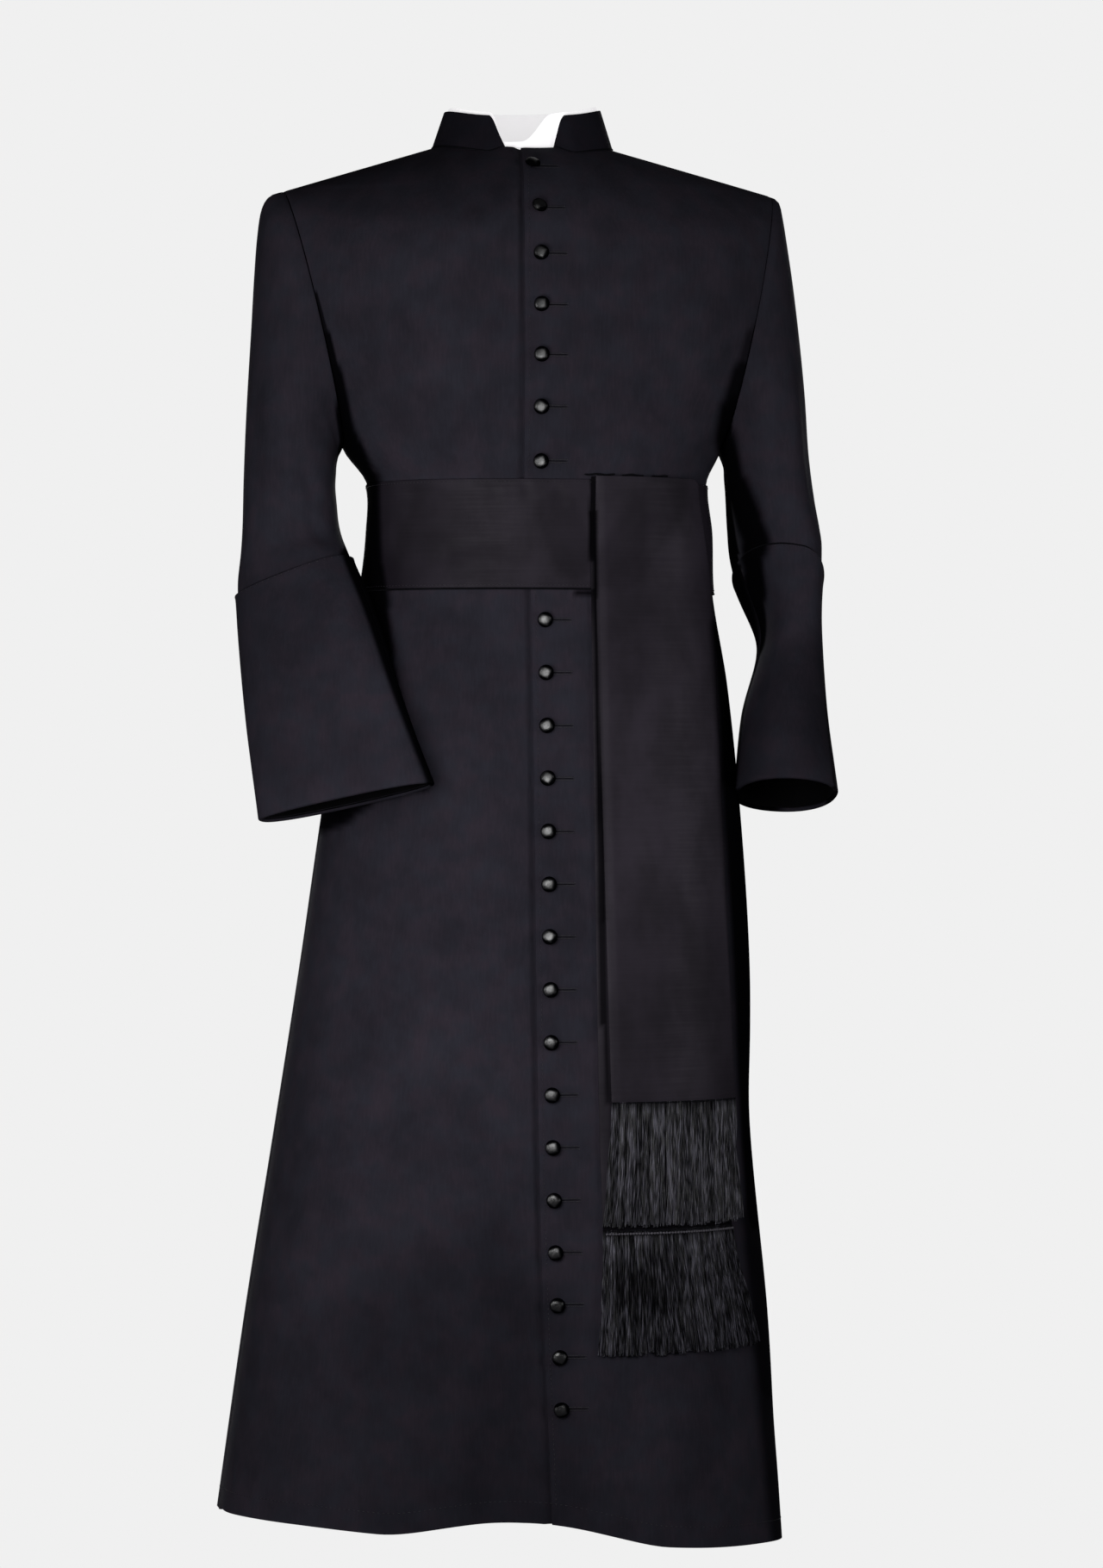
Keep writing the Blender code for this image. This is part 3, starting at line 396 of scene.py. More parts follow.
# Bands of painted shadow on the silk beside the upper streamer's edge and above the lower fringe.
LAYER_SHADES = shades(
    (0.0562, -0.347, 0.0572, -0.385, 0.0034, 0.93), (0.0572, -0.385, 0.0582, -0.432, 0.0048),
    (0.0582, -0.432, 0.0582, -0.47, 0.0036), (0.0575, -0.47, 0.06, -0.62, 0.0034, 0.95),
    (0.06, -0.62, 0.063, -0.8, 0.0034, 0.93), (0.063, -0.8, 0.0658, -0.985, 0.0026, 0.85),
    (0.0585, -0.7, 0.0605, -0.905, 0.0034, 0.85), (0.05, -1.1105, 0.205, -1.1105, 0.0042, 0.9))
FRONT_CREASES = creases(
    (-0.205, -0.215, -0.085, -0.335, 0.013, 0.0014), (-0.19, -0.265, -0.12, -0.345, 0.009, 0.0012),
    (-0.228, -0.11, -0.15, -0.205, 0.016, 0.0012), (0.222, -0.18, 0.12, -0.318, 0.014, 0.0015),
    (0.205, -0.262, 0.15, -0.342, 0.01, 0.0011), (0.238, -0.085, 0.165, -0.19, 0.016, 0.0011),
    (-0.13, -0.03, -0.07, -0.105, 0.02, 0.001), (0.135, -0.026, 0.06, -0.1, 0.02, 0.001),
    (-0.06, -0.31, -0.045, -0.352, 0.006, 0.001), (-0.095, -0.32, -0.088, -0.352, 0.005, 0.0008),
    (0.036, -0.318, 0.044, -0.352, 0.005, 0.0009), (0.09, -0.31, 0.082, -0.352, 0.007, 0.001),
    (-0.12, -0.47, -0.155, -0.66, 0.015, 0.0016), (-0.06, -0.472, -0.075, -0.59, 0.01, 0.001),
    (-0.025, -0.468, -0.02, -0.54, 0.007, 0.0007), (-0.155, -0.56, -0.215, -0.95, 0.026, 0.0026),
    (-0.085, -0.64, -0.12, -1.12, 0.03, 0.0022), (-0.17, -0.93, -0.225, -1.4, 0.03, 0.003),
    (-0.06, -1.0, -0.075, -1.41, 0.03, 0.0024), (0.05, -0.98, 0.062, -1.42, 0.026, 0.0018),
    (0.205, -0.9, 0.235, -1.43, 0.022, 0.0026), (0.15, -1.13, 0.17, -1.43, 0.024, 0.002))
BACK_CREASES = creases(
    (-0.215, -0.19, -0.08, -0.33, 0.014, 0.0017), (0.22, -0.17, 0.085, -0.325, 0.014, 0.0016),
    (-0.195, -0.255, -0.13, -0.345, 0.01, 0.0012), (0.205, -0.25, 0.125, -0.342, 0.01, 0.0013),
    (-0.11, -0.05, -0.02, -0.14, 0.022, 0.0014), (0.115, -0.045, 0.03, -0.13, 0.022, 0.0012),
    (-0.07, -0.466, -0.095, -0.7, 0.014, 0.0018), (0.02, -0.468, 0.01, -0.64, 0.012, 0.0014),
    (0.11, -0.466, 0.135, -0.72, 0.014, 0.0018), (-0.15, -0.62, -0.2, -1.25, 0.028, 0.0032),
    (0.045, -0.7, 0.06, -1.38, 0.028, 0.003), (-0.05, -0.8, -0.09, -1.4, 0.03, 0.003),
    (0.18, -0.82, 0.215, -1.4, 0.026, 0.003))
CREASES = {Face.FRONT: FRONT_CREASES, Face.BACK: BACK_CREASES}


# ---- The body's form ----
@dataclass
class Body:
    """The body's surface, on which the panels, the sash and the buttons lie."""
    neck_half: float = 0.095
    neck_front: float = 0.080
    neck_back: float = 0.068
    crown_back: float = 0.5
    neck_rise: float = 0.0100
    neck_rise_reach: float = 0.048
    neck_ridge: float = 0.029
    underarm_z: float = -0.312
    armhole_depth: float = 0.074
    tip_ratio: float = 0.62
    rounding_front: float = 0.120
    rounding_back: float = 0.105
    hem_z: float = -1.437
    hem_tilt: float = -0.066
    hem_front_rise: float = 0.0155
    hem_rise_power: float = 0.4
    hem_corner: float = 0.0050
    hem_corner_reach: float = 0.12
    hem_middle_rise: float = 0.017
    hem_middle_reach: float = 0.45
    power: float = 2.35
    flute_growth: float = 1.3
    edge_to_button: float = 0.014
    edge_further: float = 0.003
    edge_nearer: float = 0.0095
    edge_nearer_over: float = 0.06
    edge_chest_over: float = 0.1
    sash_top_z: float = -0.350
    sash_bottom_z: float = -0.462
    crease_margin: float = 0.004
    crease_fade: float = 0.012
    crease_ridge_fade: float = 0.030
    slope_step: float = 0.0004
    level: dict[str, Curve] = field(default_factory=dict)

    def __post_init__(self) -> None:
        """Makes the curves through the tables."""
        rows = np.array(LEVELS)
        self.level = {name: Curve(rows[:, 0], rows[:, i]) for i, name in enumerate(Level._fields)}
        line = np.array(BUTTON_LINE)
        self.button_x = Curve(line[:, 0], line[:, 1])

    def depth(self, face: Face, z: Array) -> Array:
        """The section's full depth on a face."""
        return self.level["front" if face == Face.FRONT else "back"](z)

    def shoulder_z(self, x: Array) -> Array:
        """Height of the shoulder seam, from the side of the neck outwards."""
        slope = np.where(x > 0, SHOULDERS[Side.LEFT].slope, SHOULDERS[Side.RIGHT].slope)
        return slope * (self.neck_half - np.abs(x))

    def ridge_z(self, face: Face, x: Array) -> Array:
        """Height that a face would reach at its top: the shoulder seam, crowned across the neck."""
        hollow = np.clip(1 - (x / self.neck_half) ** 2, 0, None)
        crown = self.crown_back * hollow ** 2 if face == Face.BACK else 0.0
        return np.where(np.abs(x) >= self.neck_half, self.shoulder_z(x),
                        self.neck_ridge * (hollow / 2 + crown))

    def tip(self, side: Side) -> Array:
        """The armhole seam's top."""
        x = side * SHOULDERS[side].reach
        return np.array((x, 0.0, float(self.shoulder_z(np.array(x)))))

    def underarm(self, side: Side) -> Array:
        """The armhole seam's lowest point."""
        z = self.underarm_z
        return np.array((float(self.level["centre"](z) + side * self.level["half_width"](z)), 0.0, z))

    def share(self, side: Side, z: Array) -> Array:
        """0 at the armhole's top, 1 at the underarm."""
        top = self.tip(side)[2]
        return np.clip((z - top) / (self.underarm_z - top), 0, 1)

    def centre(self, z: Array) -> Array:
        """The middle of the body's section."""
        above = float(self.level["centre"](self.underarm_z)) * self.share(Side.RIGHT, z)
        return np.where(z > self.underarm_z, above, self.level["centre"](z))

    def rounding(self, face: Face, x: Array, z: Array) -> Array:
        """1 on the chest, falling to 0 at the shoulder line."""
        reach = self.rounding_front if face == Face.FRONT else self.rounding_back
        t = np.clip((self.ridge_z(face, x) - z) / reach, 0, 1)
        return arc(1 - t)

    def flat_share(self, ratio: Array) -> Array:
        """The section's depth at a share of its half width, as a share of its full depth."""
        return (1 - ratio ** self.power) ** (1 / self.power)

    def half_width(self, face: Face, x: Array, z: Array) -> Array:
        """Half width of the section that passes through the armhole seam at each height."""
        centre = self.centre(z)
        left = x > centre

        def pick(of: Callable[[Side], Array]) -> Array:
            """A measure of the side that each point lies on."""
            return np.where(left, of(Side.LEFT), of(Side.RIGHT))

        share = pick(lambda side: self.share(side, z))
        seam = (pick(lambda side: self.tip(side)[0]) * (1 - share)
                + pick(lambda side: self.underarm(side)[0]) * share)
        seam_depth = self.armhole_depth * arc(1 - 2 * share)
        soft = self.rounding(face, seam, np.minimum(z, self.shoulder_z(seam) - 1e-6))
        ratio = np.minimum(0.98, seam_depth / np.maximum(1e-9, self.depth(face, z) * soft))
        ratio = np.where(share > 1e-4, ratio, self.tip_ratio)
        upper = np.abs(seam - centre) / self.flat_share(ratio)
        return np.where(z <= self.underarm_z, self.level["half_width"](z), upper)

    def flutes(self, face: Face, x: Array, z: Array) -> Array:
        """How far the skirt's soft folds stand out."""
        place = (x - self.centre(z)) / self.level["half_width"](np.minimum(z, self.underarm_z))
        total = np.zeros(np.shape(place))
        for flute in FLUTES:
            if flute.face == face:
                fall = np.clip((flute.start_z - z) / (flute.start_z - self.hem_z), 0, None)
                offset = (place - flute.across) / flute.spread
                swell = np.clip(1 - offset * offset, 0, None) ** 2
                total += flute.out * fall ** self.flute_growth * swell
        return total

    def point(self, face: Face, x: Array, z: Array) -> Array:
        """The points of the body's outer surface at each x and z."""
        x, z = paired(x, z)
        ratio = np.clip(np.abs(x - self.centre(z)) / self.half_width(face, x, z), 0, 1)
        flat = self.depth(face, z) * self.flat_share(ratio)
        y = face * (flat * self.rounding(face, x, z) + self.flutes(face, x, z))
        return np.stack([x, y, z], -1)

    def normal(self, face: Face, x: Array, z: Array) -> Array:
        """The outward directions there, from the surface's slopes a short way off."""
        x, z = paired(x, z)
        step = self.slope_step
        inward = np.where(x > self.centre(z), -step, step)
        here = self.point(face, x, z)
        along = (self.point(face, x + inward, z) - here) / inward[..., None]
        down = (self.point(face, x, z - step) - here) / -step
        normal = unit(np.cross(along, down))
        return normal * np.sign(normal[..., 1:2] * face)

    def dressed(self, face: Face, x: Array, z: Array, lift: Array | float) -> Array:
        """Points at a lift above the creased cloth.

        Args:
            face: front or back.
            x: across the body.
            z: heights.
            lift: distance above the cloth.
        Returns:
            A point for each.
        """
        x, z = paired(x, z)
        out = np.asarray(lift) + self.creasing(face, x, z)
        return self.point(face, x, z) + self.normal(face, x, z) * np.asarray(out)[..., None]

    def creasing(self, face: Face, x: Array, z: Array) -> Array:
        """How far the cloth's creases stand out, with none under the sash or at the shoulders."""
        above_sash = ease((z - self.sash_top_z + self.crease_margin) / self.crease_fade)
        below_sash = ease((self.sash_bottom_z + self.crease_margin / 2 - z) / self.crease_fade)
        below_ridge = ease((self.ridge_z(face, x) - z - self.crease_margin) / self.crease_ridge_fade)
        return relief(CREASES[face], x, z) * (above_sash + below_sash) * below_ridge

    def neck_z(self, face: Face, x: Array) -> Array:
        """Height of the neck seam: where the neck's upright tube meets the body."""
        depth = self.neck_front if face == Face.FRONT else self.neck_back
        reach = self.rounding_front if face == Face.FRONT else self.rounding_back
        y = depth * arc(x / self.neck_half)
        tip_z = np.where(x > 0, self.tip(Side.LEFT)[2], self.tip(Side.RIGHT)[2])
        ridge = self.ridge_z(face, x)
        z = ridge
        for _ in range(3):
            half = self.half_width(face, x, np.minimum(z, tip_z))
            ratio = np.clip(np.abs(x) / half, 0, 1)
            flat = self.depth(face, z) * self.flat_share(ratio)
            z = ridge - reach * (1 - np.sqrt(1 - np.clip(y / flat, 0, 0.999) ** 2))
        if face == Face.FRONT:
            z = z + self.neck_rise * ease(2 * (1 - np.abs(x) / self.neck_rise_reach))
        return z

    def edge_x(self, z: Array) -> Array:
        """x of the overlapping front's edge, which lies nearer the buttons at the throat."""
        chest = self.edge_further * ease((z - self.sash_bottom_z) / self.edge_chest_over)
        throat = self.edge_nearer * bell(z / self.edge_nearer_over)
        return self.button_x(z) - self.edge_to_button - chest + throat

    def section_x(self, z: Array, angle: Array) -> Array:
        """x of the section's point at an angle: 0 at the left seam, pi at the right."""
        place = signed_power(np.cos(angle), 2 / self.power)
        return self.centre(z) + self.level["half_width"](z) * place

    def section_angle(self, x: Array, z: Array) -> Array:
        """The angle on the section at z whose point has this x."""
        place = (x - self.centre(z)) / self.level["half_width"](z)
        return np.arccos(np.clip(signed_power(place, self.power / 2), -1, 1))

    def hem_drop(self, face: Face, angle: Array) -> Array:
        """How much lower than its plain height the hem is, at each angle."""
        off_side = np.abs(np.sin(angle)) / self.hem_corner_reach
        on_right = np.cos(angle) < 0
        fall = self.hem_tilt * self.section_x(same(self.hem_z, angle), angle)
        fall = fall + self.hem_corner * bell(off_side) * on_right
        if face == Face.BACK:
            return fall
        middle = np.clip(1 - (np.cos(angle) / self.hem_middle_reach) ** 2, 0, None) ** 2
        rise = np.abs(np.sin(angle)) ** self.hem_rise_power * np.where(on_right, ease(off_side), 1.0)
        return fall + self.hem_front_rise * rise + self.hem_middle_rise * middle


CLOTH = Body()


# ---- Materials ----
# The black that painted shade mixes towards.
PAINTED_SHADE_BLACK = (0.0008, 0.0008, 0.0011, 1)


class Value:
    """A number, colour or vector on its way through a material's nodes."""

    def __init__(self, graph: "Graph", socket: bpy.types.NodeSocket) -> None:
        """Wraps an output socket of the graph."""
        self.graph = graph
        self.socket = socket

    def math(self, operation: str, *others: "Value | float", first: float | None = None) -> "Value":
        """Adds a Math node.

        Args:
            operation: the node's operation.
            others: its further inputs.
            first: a number that comes before this value.
        Returns:
            The node's result.
        """
        terms = ([first] if first is not None else []) + [self, *others]
        return self.graph.node("ShaderNodeMath", {"operation": operation}, dict(enumerate(terms)))

    def __add__(self, other: "Value | float") -> "Value":
        """Sum."""
        return self.math("ADD", other)

    def __sub__(self, other: "Value | float") -> "Value":
        """Difference."""
        return self.math("SUBTRACT", other)

    def __mul__(self, other: "Value | float") -> "Value":
        """Product."""
        return self.math("MULTIPLY", other)

    def __radd__(self, other: float) -> "Value":
        """Sum with a number before."""
        return self.math("ADD", first=other)

    def __rsub__(self, other: float) -> "Value":
        """Difference from a number."""
        return self.math("SUBTRACT", first=other)

    def __rmul__(self, other: float) -> "Value":
        """Product with a number before."""
        return self.math("MULTIPLY", first=other)

    def between(self, low: float, high: float) -> "Value":
        """0 at low and 1 at high, clamped and smooth."""
        return self.graph.node("ShaderNodeMapRange", {"interpolation_type": "SMOOTHSTEP"}, {
            "Value": self, "From Min": low, "From Max": high})

    def sine(self) -> "Value":
        """Its sine."""
        return self.math("SINE")

    def ribs(self, pitch: float) -> "Value":
        """Soft ribs a pitch apart along a distance, from 0 to 1."""
        return (self * (TURN / pitch)).sine() * 0.5 + 0.5


class Grain(NamedTuple):
    """One layer of soft noise, with its share in a finish.

    Its noise between low and high runs from 0 to 1, and stretch squeezes the pattern.
    """
    scale: float
    detail: float
    roughness: float
    low: float
    high: float
    share: float = 1.0
    stretch: Point = (1, 1, 1)


class Graph:
    """A material and the nodes that dress it."""

    def __init__(self, name: str) -> None:
        """Starts a material with its shader."""
        self.material = bpy.data.materials.new(name)
        self.material.use_nodes = True
        self.tree = self.material.node_tree
        self.shader = self.tree.nodes["Principled BSDF"]
        self.places: dict[Point, Value] = {}

    def node(self, kind: str, settings: dict[str, Any], inputs: dict[Any, Any],
             output: int | str = 0) -> Value:
        """Adds one node.

        Args:
            kind: the node's type.
            settings: its properties, which are set first.
            inputs: values or links, by socket name, identifier or index.
            output: which result is wanted.
        Returns:
            That result.
        """
        made = self.tree.nodes.new(kind)
        for key, value in settings.items():
            setattr(made, key, value)
        by_identifier = {socket.identifier: socket for socket in made.inputs}
        for key, value in inputs.items():
            self.feed(by_identifier.get(key) or made.inputs[key], value)
        outputs = {socket.identifier: socket for socket in made.outputs}
        return Value(self, outputs.get(output) or made.outputs[output])

    def feed(self, socket: bpy.types.NodeSocket, value: Any) -> None:
        """Links a value to a socket, or sets it there."""
        if isinstance(value, Value):
            self.tree.links.new(value.socket, socket)
        else:
            socket.default_value = value

    def place(self, stretch: Point = (1, 1, 1)) -> Value:
        """Places on the piece, in metres, stretched."""
        if stretch not in self.places:
            at = self.node("ShaderNodeTexCoord", {}, {}, "Object")
            self.places[stretch] = self.node("ShaderNodeMapping", {}, {"Vector": at, "Scale": stretch})
        return self.places[stretch]

    def along(self) -> tuple[Value, Value]:
        """Distances across and down the piece's cloth, in metres."""
        uv = self.node("ShaderNodeUVMap", {"uv_map": "cloth"}, {})
        split = self.node("ShaderNodeSeparateXYZ", {}, {"Vector": uv})
        return split, Value(self, split.socket.node.outputs[1])

    def folds(self) -> Value:
        """How much painted shade each place has, from 0 to 1, read from its shade attribute."""
        return self.node("ShaderNodeAttribute", {"attribute_name": "shade"}, {}, "Fac")

    def noise(self, grain: Grain) -> Value:
        """A grain's bare noise, around a half."""
        return self.node("ShaderNodeTexNoise", {}, {
            "Vector": self.place(grain.stretch), "Scale": grain.scale, "Detail": grain.detail,
            "Roughness": grain.roughness})

    def grain(self, grain: Grain) -> Value:
        """A grain from 0 to 1."""
        return self.noise(grain).between(grain.low, grain.high)

    def mix(self, share: Value | float, low: Any, high: Any) -> Value:
        """A colour between two."""
        return self.node("ShaderNodeMix", {"data_type": "RGBA"}, {
            "Factor_Float": share, "A_Color": low, "B_Color": high}, "Result_Color")

    def bump(self, height: Value, distance: float, strength: float = 1.0) -> Value:
        """A normal from a height between 0 and 1."""
        return self.node("ShaderNodeBump", {}, {
            "Height": height, "Distance": distance, "Strength": strength})

    def sink(self, depth: Value) -> None:
        """Mixes a black shader into the surface by each place's painted shade.

        Args:
            depth: how much painted shade each place has, from 0 to 1.
        """
        black = self.node("ShaderNodeBsdfPrincipled", {}, {
            "Base Color": PAINTED_SHADE_BLACK, "Roughness": 1.0, "Specular IOR Level": 0.0})
        plain = Value(self, self.shader.outputs[0])
        mixed = self.node("ShaderNodeMixShader", {}, {0: depth, 1: plain, 2: black})
        self.feed(self.tree.nodes["Material Output"].inputs["Surface"], mixed)

    def dress(self, **sockets: Any) -> Material:
        """Feeds the shader and returns the material.

        Args:
            sockets: values by socket name, with _ for a space.
        Returns:
            The finished material.
        """
        for name, value in sockets.items():
            self.feed(self.shader.inputs[name.replace("_", " ")], value)
        return self.material


def tone(colour: Colour, factor: float, warm: float = 1.0) -> tuple[float, float, float, float]:
    """A colour made lighter or darker, and warmer or cooler, with its alpha."""
    return (colour[0] * factor * warm, colour[1] * factor, colour[2] * factor, 1.0)


@dataclass(frozen=True)
class Finish:
    """A dark cloth or thread: its colour's two tones, its dullness, its shine and its relief."""
    name: str
    colour: Colour
    dark: float
    light: float
    roughness: float
    shine: float
    relief: float
    raised: float

    def dress(self, graph: Graph, shade: Value, roughness: Value, height: Value,
              light: Value | None = None) -> Material:
        """Feeds the shader.

        Args:
            graph: the material.
            shade: 0 for the darker tone and 1 for the lighter.
            roughness: how rough each place is.
            height: the relief, from 0 to 1.
            light: the lighter tone, if it varies.
        Returns:
            The finished material.
        """
        light = light or tone(self.colour, self.light)
        return graph.dress(
            Base_Color=graph.mix(shade, tone(self.colour, self.dark), light), Roughness=roughness,
            Specular_IOR_Level=self.shine, Normal=graph.bump(height, self.relief, self.raised))


@dataclass(frozen=True)
class WoolFinish(Finish):
    """Fine black worsted: a steep twill with a matte, slightly brushed face."""
    name: str = "black_cloth"
    colour: Colour = (0.0178, 0.0166, 0.0234)
    dark: float = 0.68
    light: float = 1.36
    cool: float = 0.94
    warm: float = 1.18
    roughness: float = 0.88
    shine: float = 0.05
    relief: float = 0.00012
    raised: float = 0.55
    twill: float = 0.00085
    twill_across: float = 0.8
    twill_down: float = 0.6
    end_share: float = 0.35
    weave_share: float = 0.09
    broad: Grain = Grain(9, 4, 0.55, 0.30, 0.72, 0.36)
    cloud: Grain = Grain(34, 3, 0.5, 0.32, 0.68, 0.24)
    slub: Grain = Grain(420, 2, 0.6, 0.35, 0.75, 0.18, (1, 1, 0.12))
    fluff: Grain = Grain(1500, 3, 0.7, 0.4, 0.75, 0.13)
    tint: Grain = Grain(46, 2, 0.5, 0.36, 0.64)

    def build(self) -> Material:
        """Makes the material."""
        graph = Graph(self.name)
        across, down = graph.along()
        wales = (across * self.twill_across + down * self.twill_down).ribs(self.twill)
        ends = across.ribs(self.twill * 0.55)
        weave = wales * ((1 - self.end_share) + ends * self.end_share)
        broad, cloud, slub, fluff = map(graph.grain, (self.broad, self.cloud, self.slub, self.fluff))
        shade = (broad * self.broad.share + cloud * self.cloud.share + slub * self.slub.share
                 + fluff * self.fluff.share + weave * self.weave_share)
        light = graph.mix(graph.grain(self.tint), tone(self.colour, self.light, self.cool),
                          tone(self.colour, self.light, self.warm))
        # Painted shade from the shade attribute darkens the cloth towards black.
        graph.sink(graph.folds())
        return self.dress(graph, shade, self.roughness - broad * 0.08 - weave * 0.04,
                          weave * 0.6 + fluff * 0.4, light)


@dataclass(frozen=True)
class SilkFinish(Finish):
    """Black ribbed silk of the sash: fine cords across it, with a soft warm lustre."""
    name: str = "black_silk"
    colour: Colour = (0.0176, 0.0143, 0.0206)
    dark: float = 0.70
    light: float = 1.32
    roughness: float = 0.62
    shine: float = 0.10
    relief: float = 0.00009
    raised: float = 0.35
    rib: float = 0.0009
    rib_share: float = 0.16
    wander: Grain = Grain(60, 2, 0.5, 0.0, 1.0, 0.9)
    broad: Grain = Grain(22, 4, 0.55, 0.3, 0.7, 0.72, (1, 1, 0.6))
    streak: Grain = Grain(60, 3, 0.5, 0.35, 0.7, 0.12, (0.25, 0.25, 9))

    def build(self) -> Material:
        """Makes the material."""
        graph = Graph(self.name)
        across, down = graph.along()
        wander = graph.noise(self.wander) * self.wander.share
        ribs = (down * (TURN / self.rib) + wander).sine() * 0.5 + 0.5
        threads = across.ribs(self.rib * 0.5)
        broad, streak = graph.grain(self.broad), graph.grain(self.streak)
        shade = broad * self.broad.share + streak * self.streak.share + ribs * self.rib_share
        # Painted shade from the shade attribute darkens the silk towards black.
        graph.sink(graph.folds())
        return self.dress(graph, shade, self.roughness - streak * 0.08 - broad * 0.06,
                          ribs * 0.75 + threads * 0.25)


@dataclass(frozen=True)
class StrandFinish(Finish):
    """Glossy twisted silk of the fringes."""
    name: str = "fringe_silk"
    colour: Colour = (0.0385, 0.0370, 0.0485)
    dark: float = 0.10
    light: float = 2.20
    roughness: float = 0.36
    shine: float = 0.45
    relief: float = 0.00015
    raised: float = 0.5
    lock: Grain = Grain(260, 2, 0.6, 0.41, 0.61, 0.78, (1, 1, 0.14))
    twist: Grain = Grain(900, 2, 0.6, 0.35, 0.7, 0.22)

    def build(self) -> Material:
        """Makes the material."""
        graph = Graph(self.name)
        lock, twist = graph.grain(self.lock), graph.grain(self.twist)
        # Painted shade and painted glints from the shade attribute darken the strands towards black.
        graph.sink(graph.folds())
        return self.dress(graph, lock * self.lock.share + twist * self.twist.share,
                          self.roughness + twist * 0.16, twist)


@dataclass(frozen=True)
class ButtonFinish(Finish):
    """Black satin drawn over a button's dome."""
    name: str = "button_cloth"
    colour: Colour = (0.0042, 0.0040, 0.0050)
    dark: float = 0.7
    light: float = 1.35
    roughness: float = 0.28
    shine: float = 1.0
    relief: float = 0.00020
    raised: float = 0.55
    weave: Grain = Grain(1 / 0.00065, 2, 0.6, 0.3, 0.7, 0.4)
    drawn: Grain = Grain(240, 3, 0.6, 0.35, 0.7, 0.6)

    def build(self) -> Material:
        """Makes the material."""
        graph = Graph(self.name)
        weave, drawn = graph.grain(self.weave), graph.grain(self.drawn)
        # Painted shade from the shade attribute darkens the cover towards black.
        graph.sink(graph.folds())
        return self.dress(graph, drawn * self.drawn.share + weave * self.weave.share,
                          self.roughness + drawn * 0.14, weave * 0.6 + drawn * 0.4)


@dataclass(frozen=True)
class ThreadFinish(Finish):
    """Black sewing silk of the stitches and buttonholes."""
    name: str = "black_thread"
    colour: Colour = (0.0120, 0.0110, 0.0145)
    dark: float = 0.6
    light: float = 1.6
    roughness: float = 0.5
    shine: float = 0.4
    relief: float = 0.0001
    raised: float = 0.6
    ply: Grain = Grain(1 / 0.0006, 2, 0.6, 0.3, 0.7)

    def build(self) -> Material:
        """Makes the material."""
        graph = Graph(self.name)
        ply = graph.grain(self.ply)
        return self.dress(graph, ply, self.roughness + ply * 0.15, ply)


@dataclass(frozen=True)
class LiningFinish(Finish):
    """Black sateen that lines the body, the sleeves and the cuffs."""
    name: str = "black_lining"
    colour: Colour = (0.0022, 0.0021, 0.0026)
    dark: float = 0.6
    light: float = 1.4
    roughness: float = 0.80
    shine: float = 0.03
    relief: float = 0.0001
    raised: float = 0.4
    soft: Grain = Grain(30, 3, 0.5, 0.3, 0.7, 0.6, (1, 1, 0.3))
    fine: Grain = Grain(1400, 2, 0.6, 0.3, 0.7, 0.4)

    def build(self) -> Material:
        """Makes the material."""
        graph = Graph(self.name)
        soft, fine = graph.grain(self.soft), graph.grain(self.fine)
        return self.dress(graph, soft * self.soft.share + fine * self.fine.share,
                          self.roughness + soft * 0.1, fine)


@dataclass(frozen=True)
class SeamShadowFinish:
    """Near-black painted shadow of a cut or a deep seam."""
    name: str = "painted_seam_shadow"
    colour: Colour = (0.0015, 0.0015, 0.002)
    light: float = 4.0
    fray: Grain = Grain(1800, 2, 0.6, 0.3, 0.8)

    def build(self) -> Material:
        """Makes the material."""
        graph = Graph(self.name)
        colour = graph.mix(graph.grain(self.fray), tone(self.colour, 1), tone(self.colour, self.light))
        return graph.dress(Base_Color=colour, Roughness=0.95, Specular_IOR_Level=0.05)


@dataclass(frozen=True)
class LinenFinish:
    """Starched white linen of the neckband, with a painted glow: a little light of its own, though it
    is no lamp.
    """
    name: str = "white_linen"
    grey: Colour = (0.93, 0.90, 0.94)
    white: Colour = (1, 0.99, 1)
    # How strongly the painted glow shines.
    painted_glow: float = 0.54
    weave: float = 0.0007
    weave_share: float = 0.3
    soft: Grain = Grain(30, 3, 0.5, 0.3, 0.7, 0.7)

    def build(self) -> Material:
        """Makes the material."""
        graph = Graph(self.name)
        warp, weft = ((run * (TURN / self.weave)).sine() for run in graph.along())
        cross = warp * weft * 0.5 + 0.5
        soft = graph.grain(self.soft)
        shade = soft * self.soft.share + cross * self.weave_share
        return graph.dress(
            Base_Color=graph.mix(shade, tone(self.grey, 0.86), tone(self.white, 0.90)),
            Roughness=0.66 + soft * 0.08, Specular_IOR_Level=0.3,
            Emission_Color=tone(self.white, 1), Emission_Strength=self.painted_glow,
            Normal=graph.bump(cross, 0.00008, 0.4))


# ---- Building shells ----
MERGE = 1e-5


def mesh_of(name: str, bm: BMesh) -> bpy.types.Mesh:
    """A bmesh as a mesh; the bmesh is freed."""
    mesh = bpy.data.meshes.new(name)
    bm.to_mesh(mesh)
    bm.free()
    return mesh


def linked(name: str, data: bpy.types.ID) -> Object:
    """A new object in the scene."""
    made = bpy.data.objects.new(name, data)
    bpy.context.scene.collection.objects.link(made)
    return made


def steps_between(points: Array, axis: int) -> Array:
    """Distances between neighbours along one axis of a grid or a row of points."""
    return np.linalg.norm(np.diff(points, axis=axis), axis=-1)


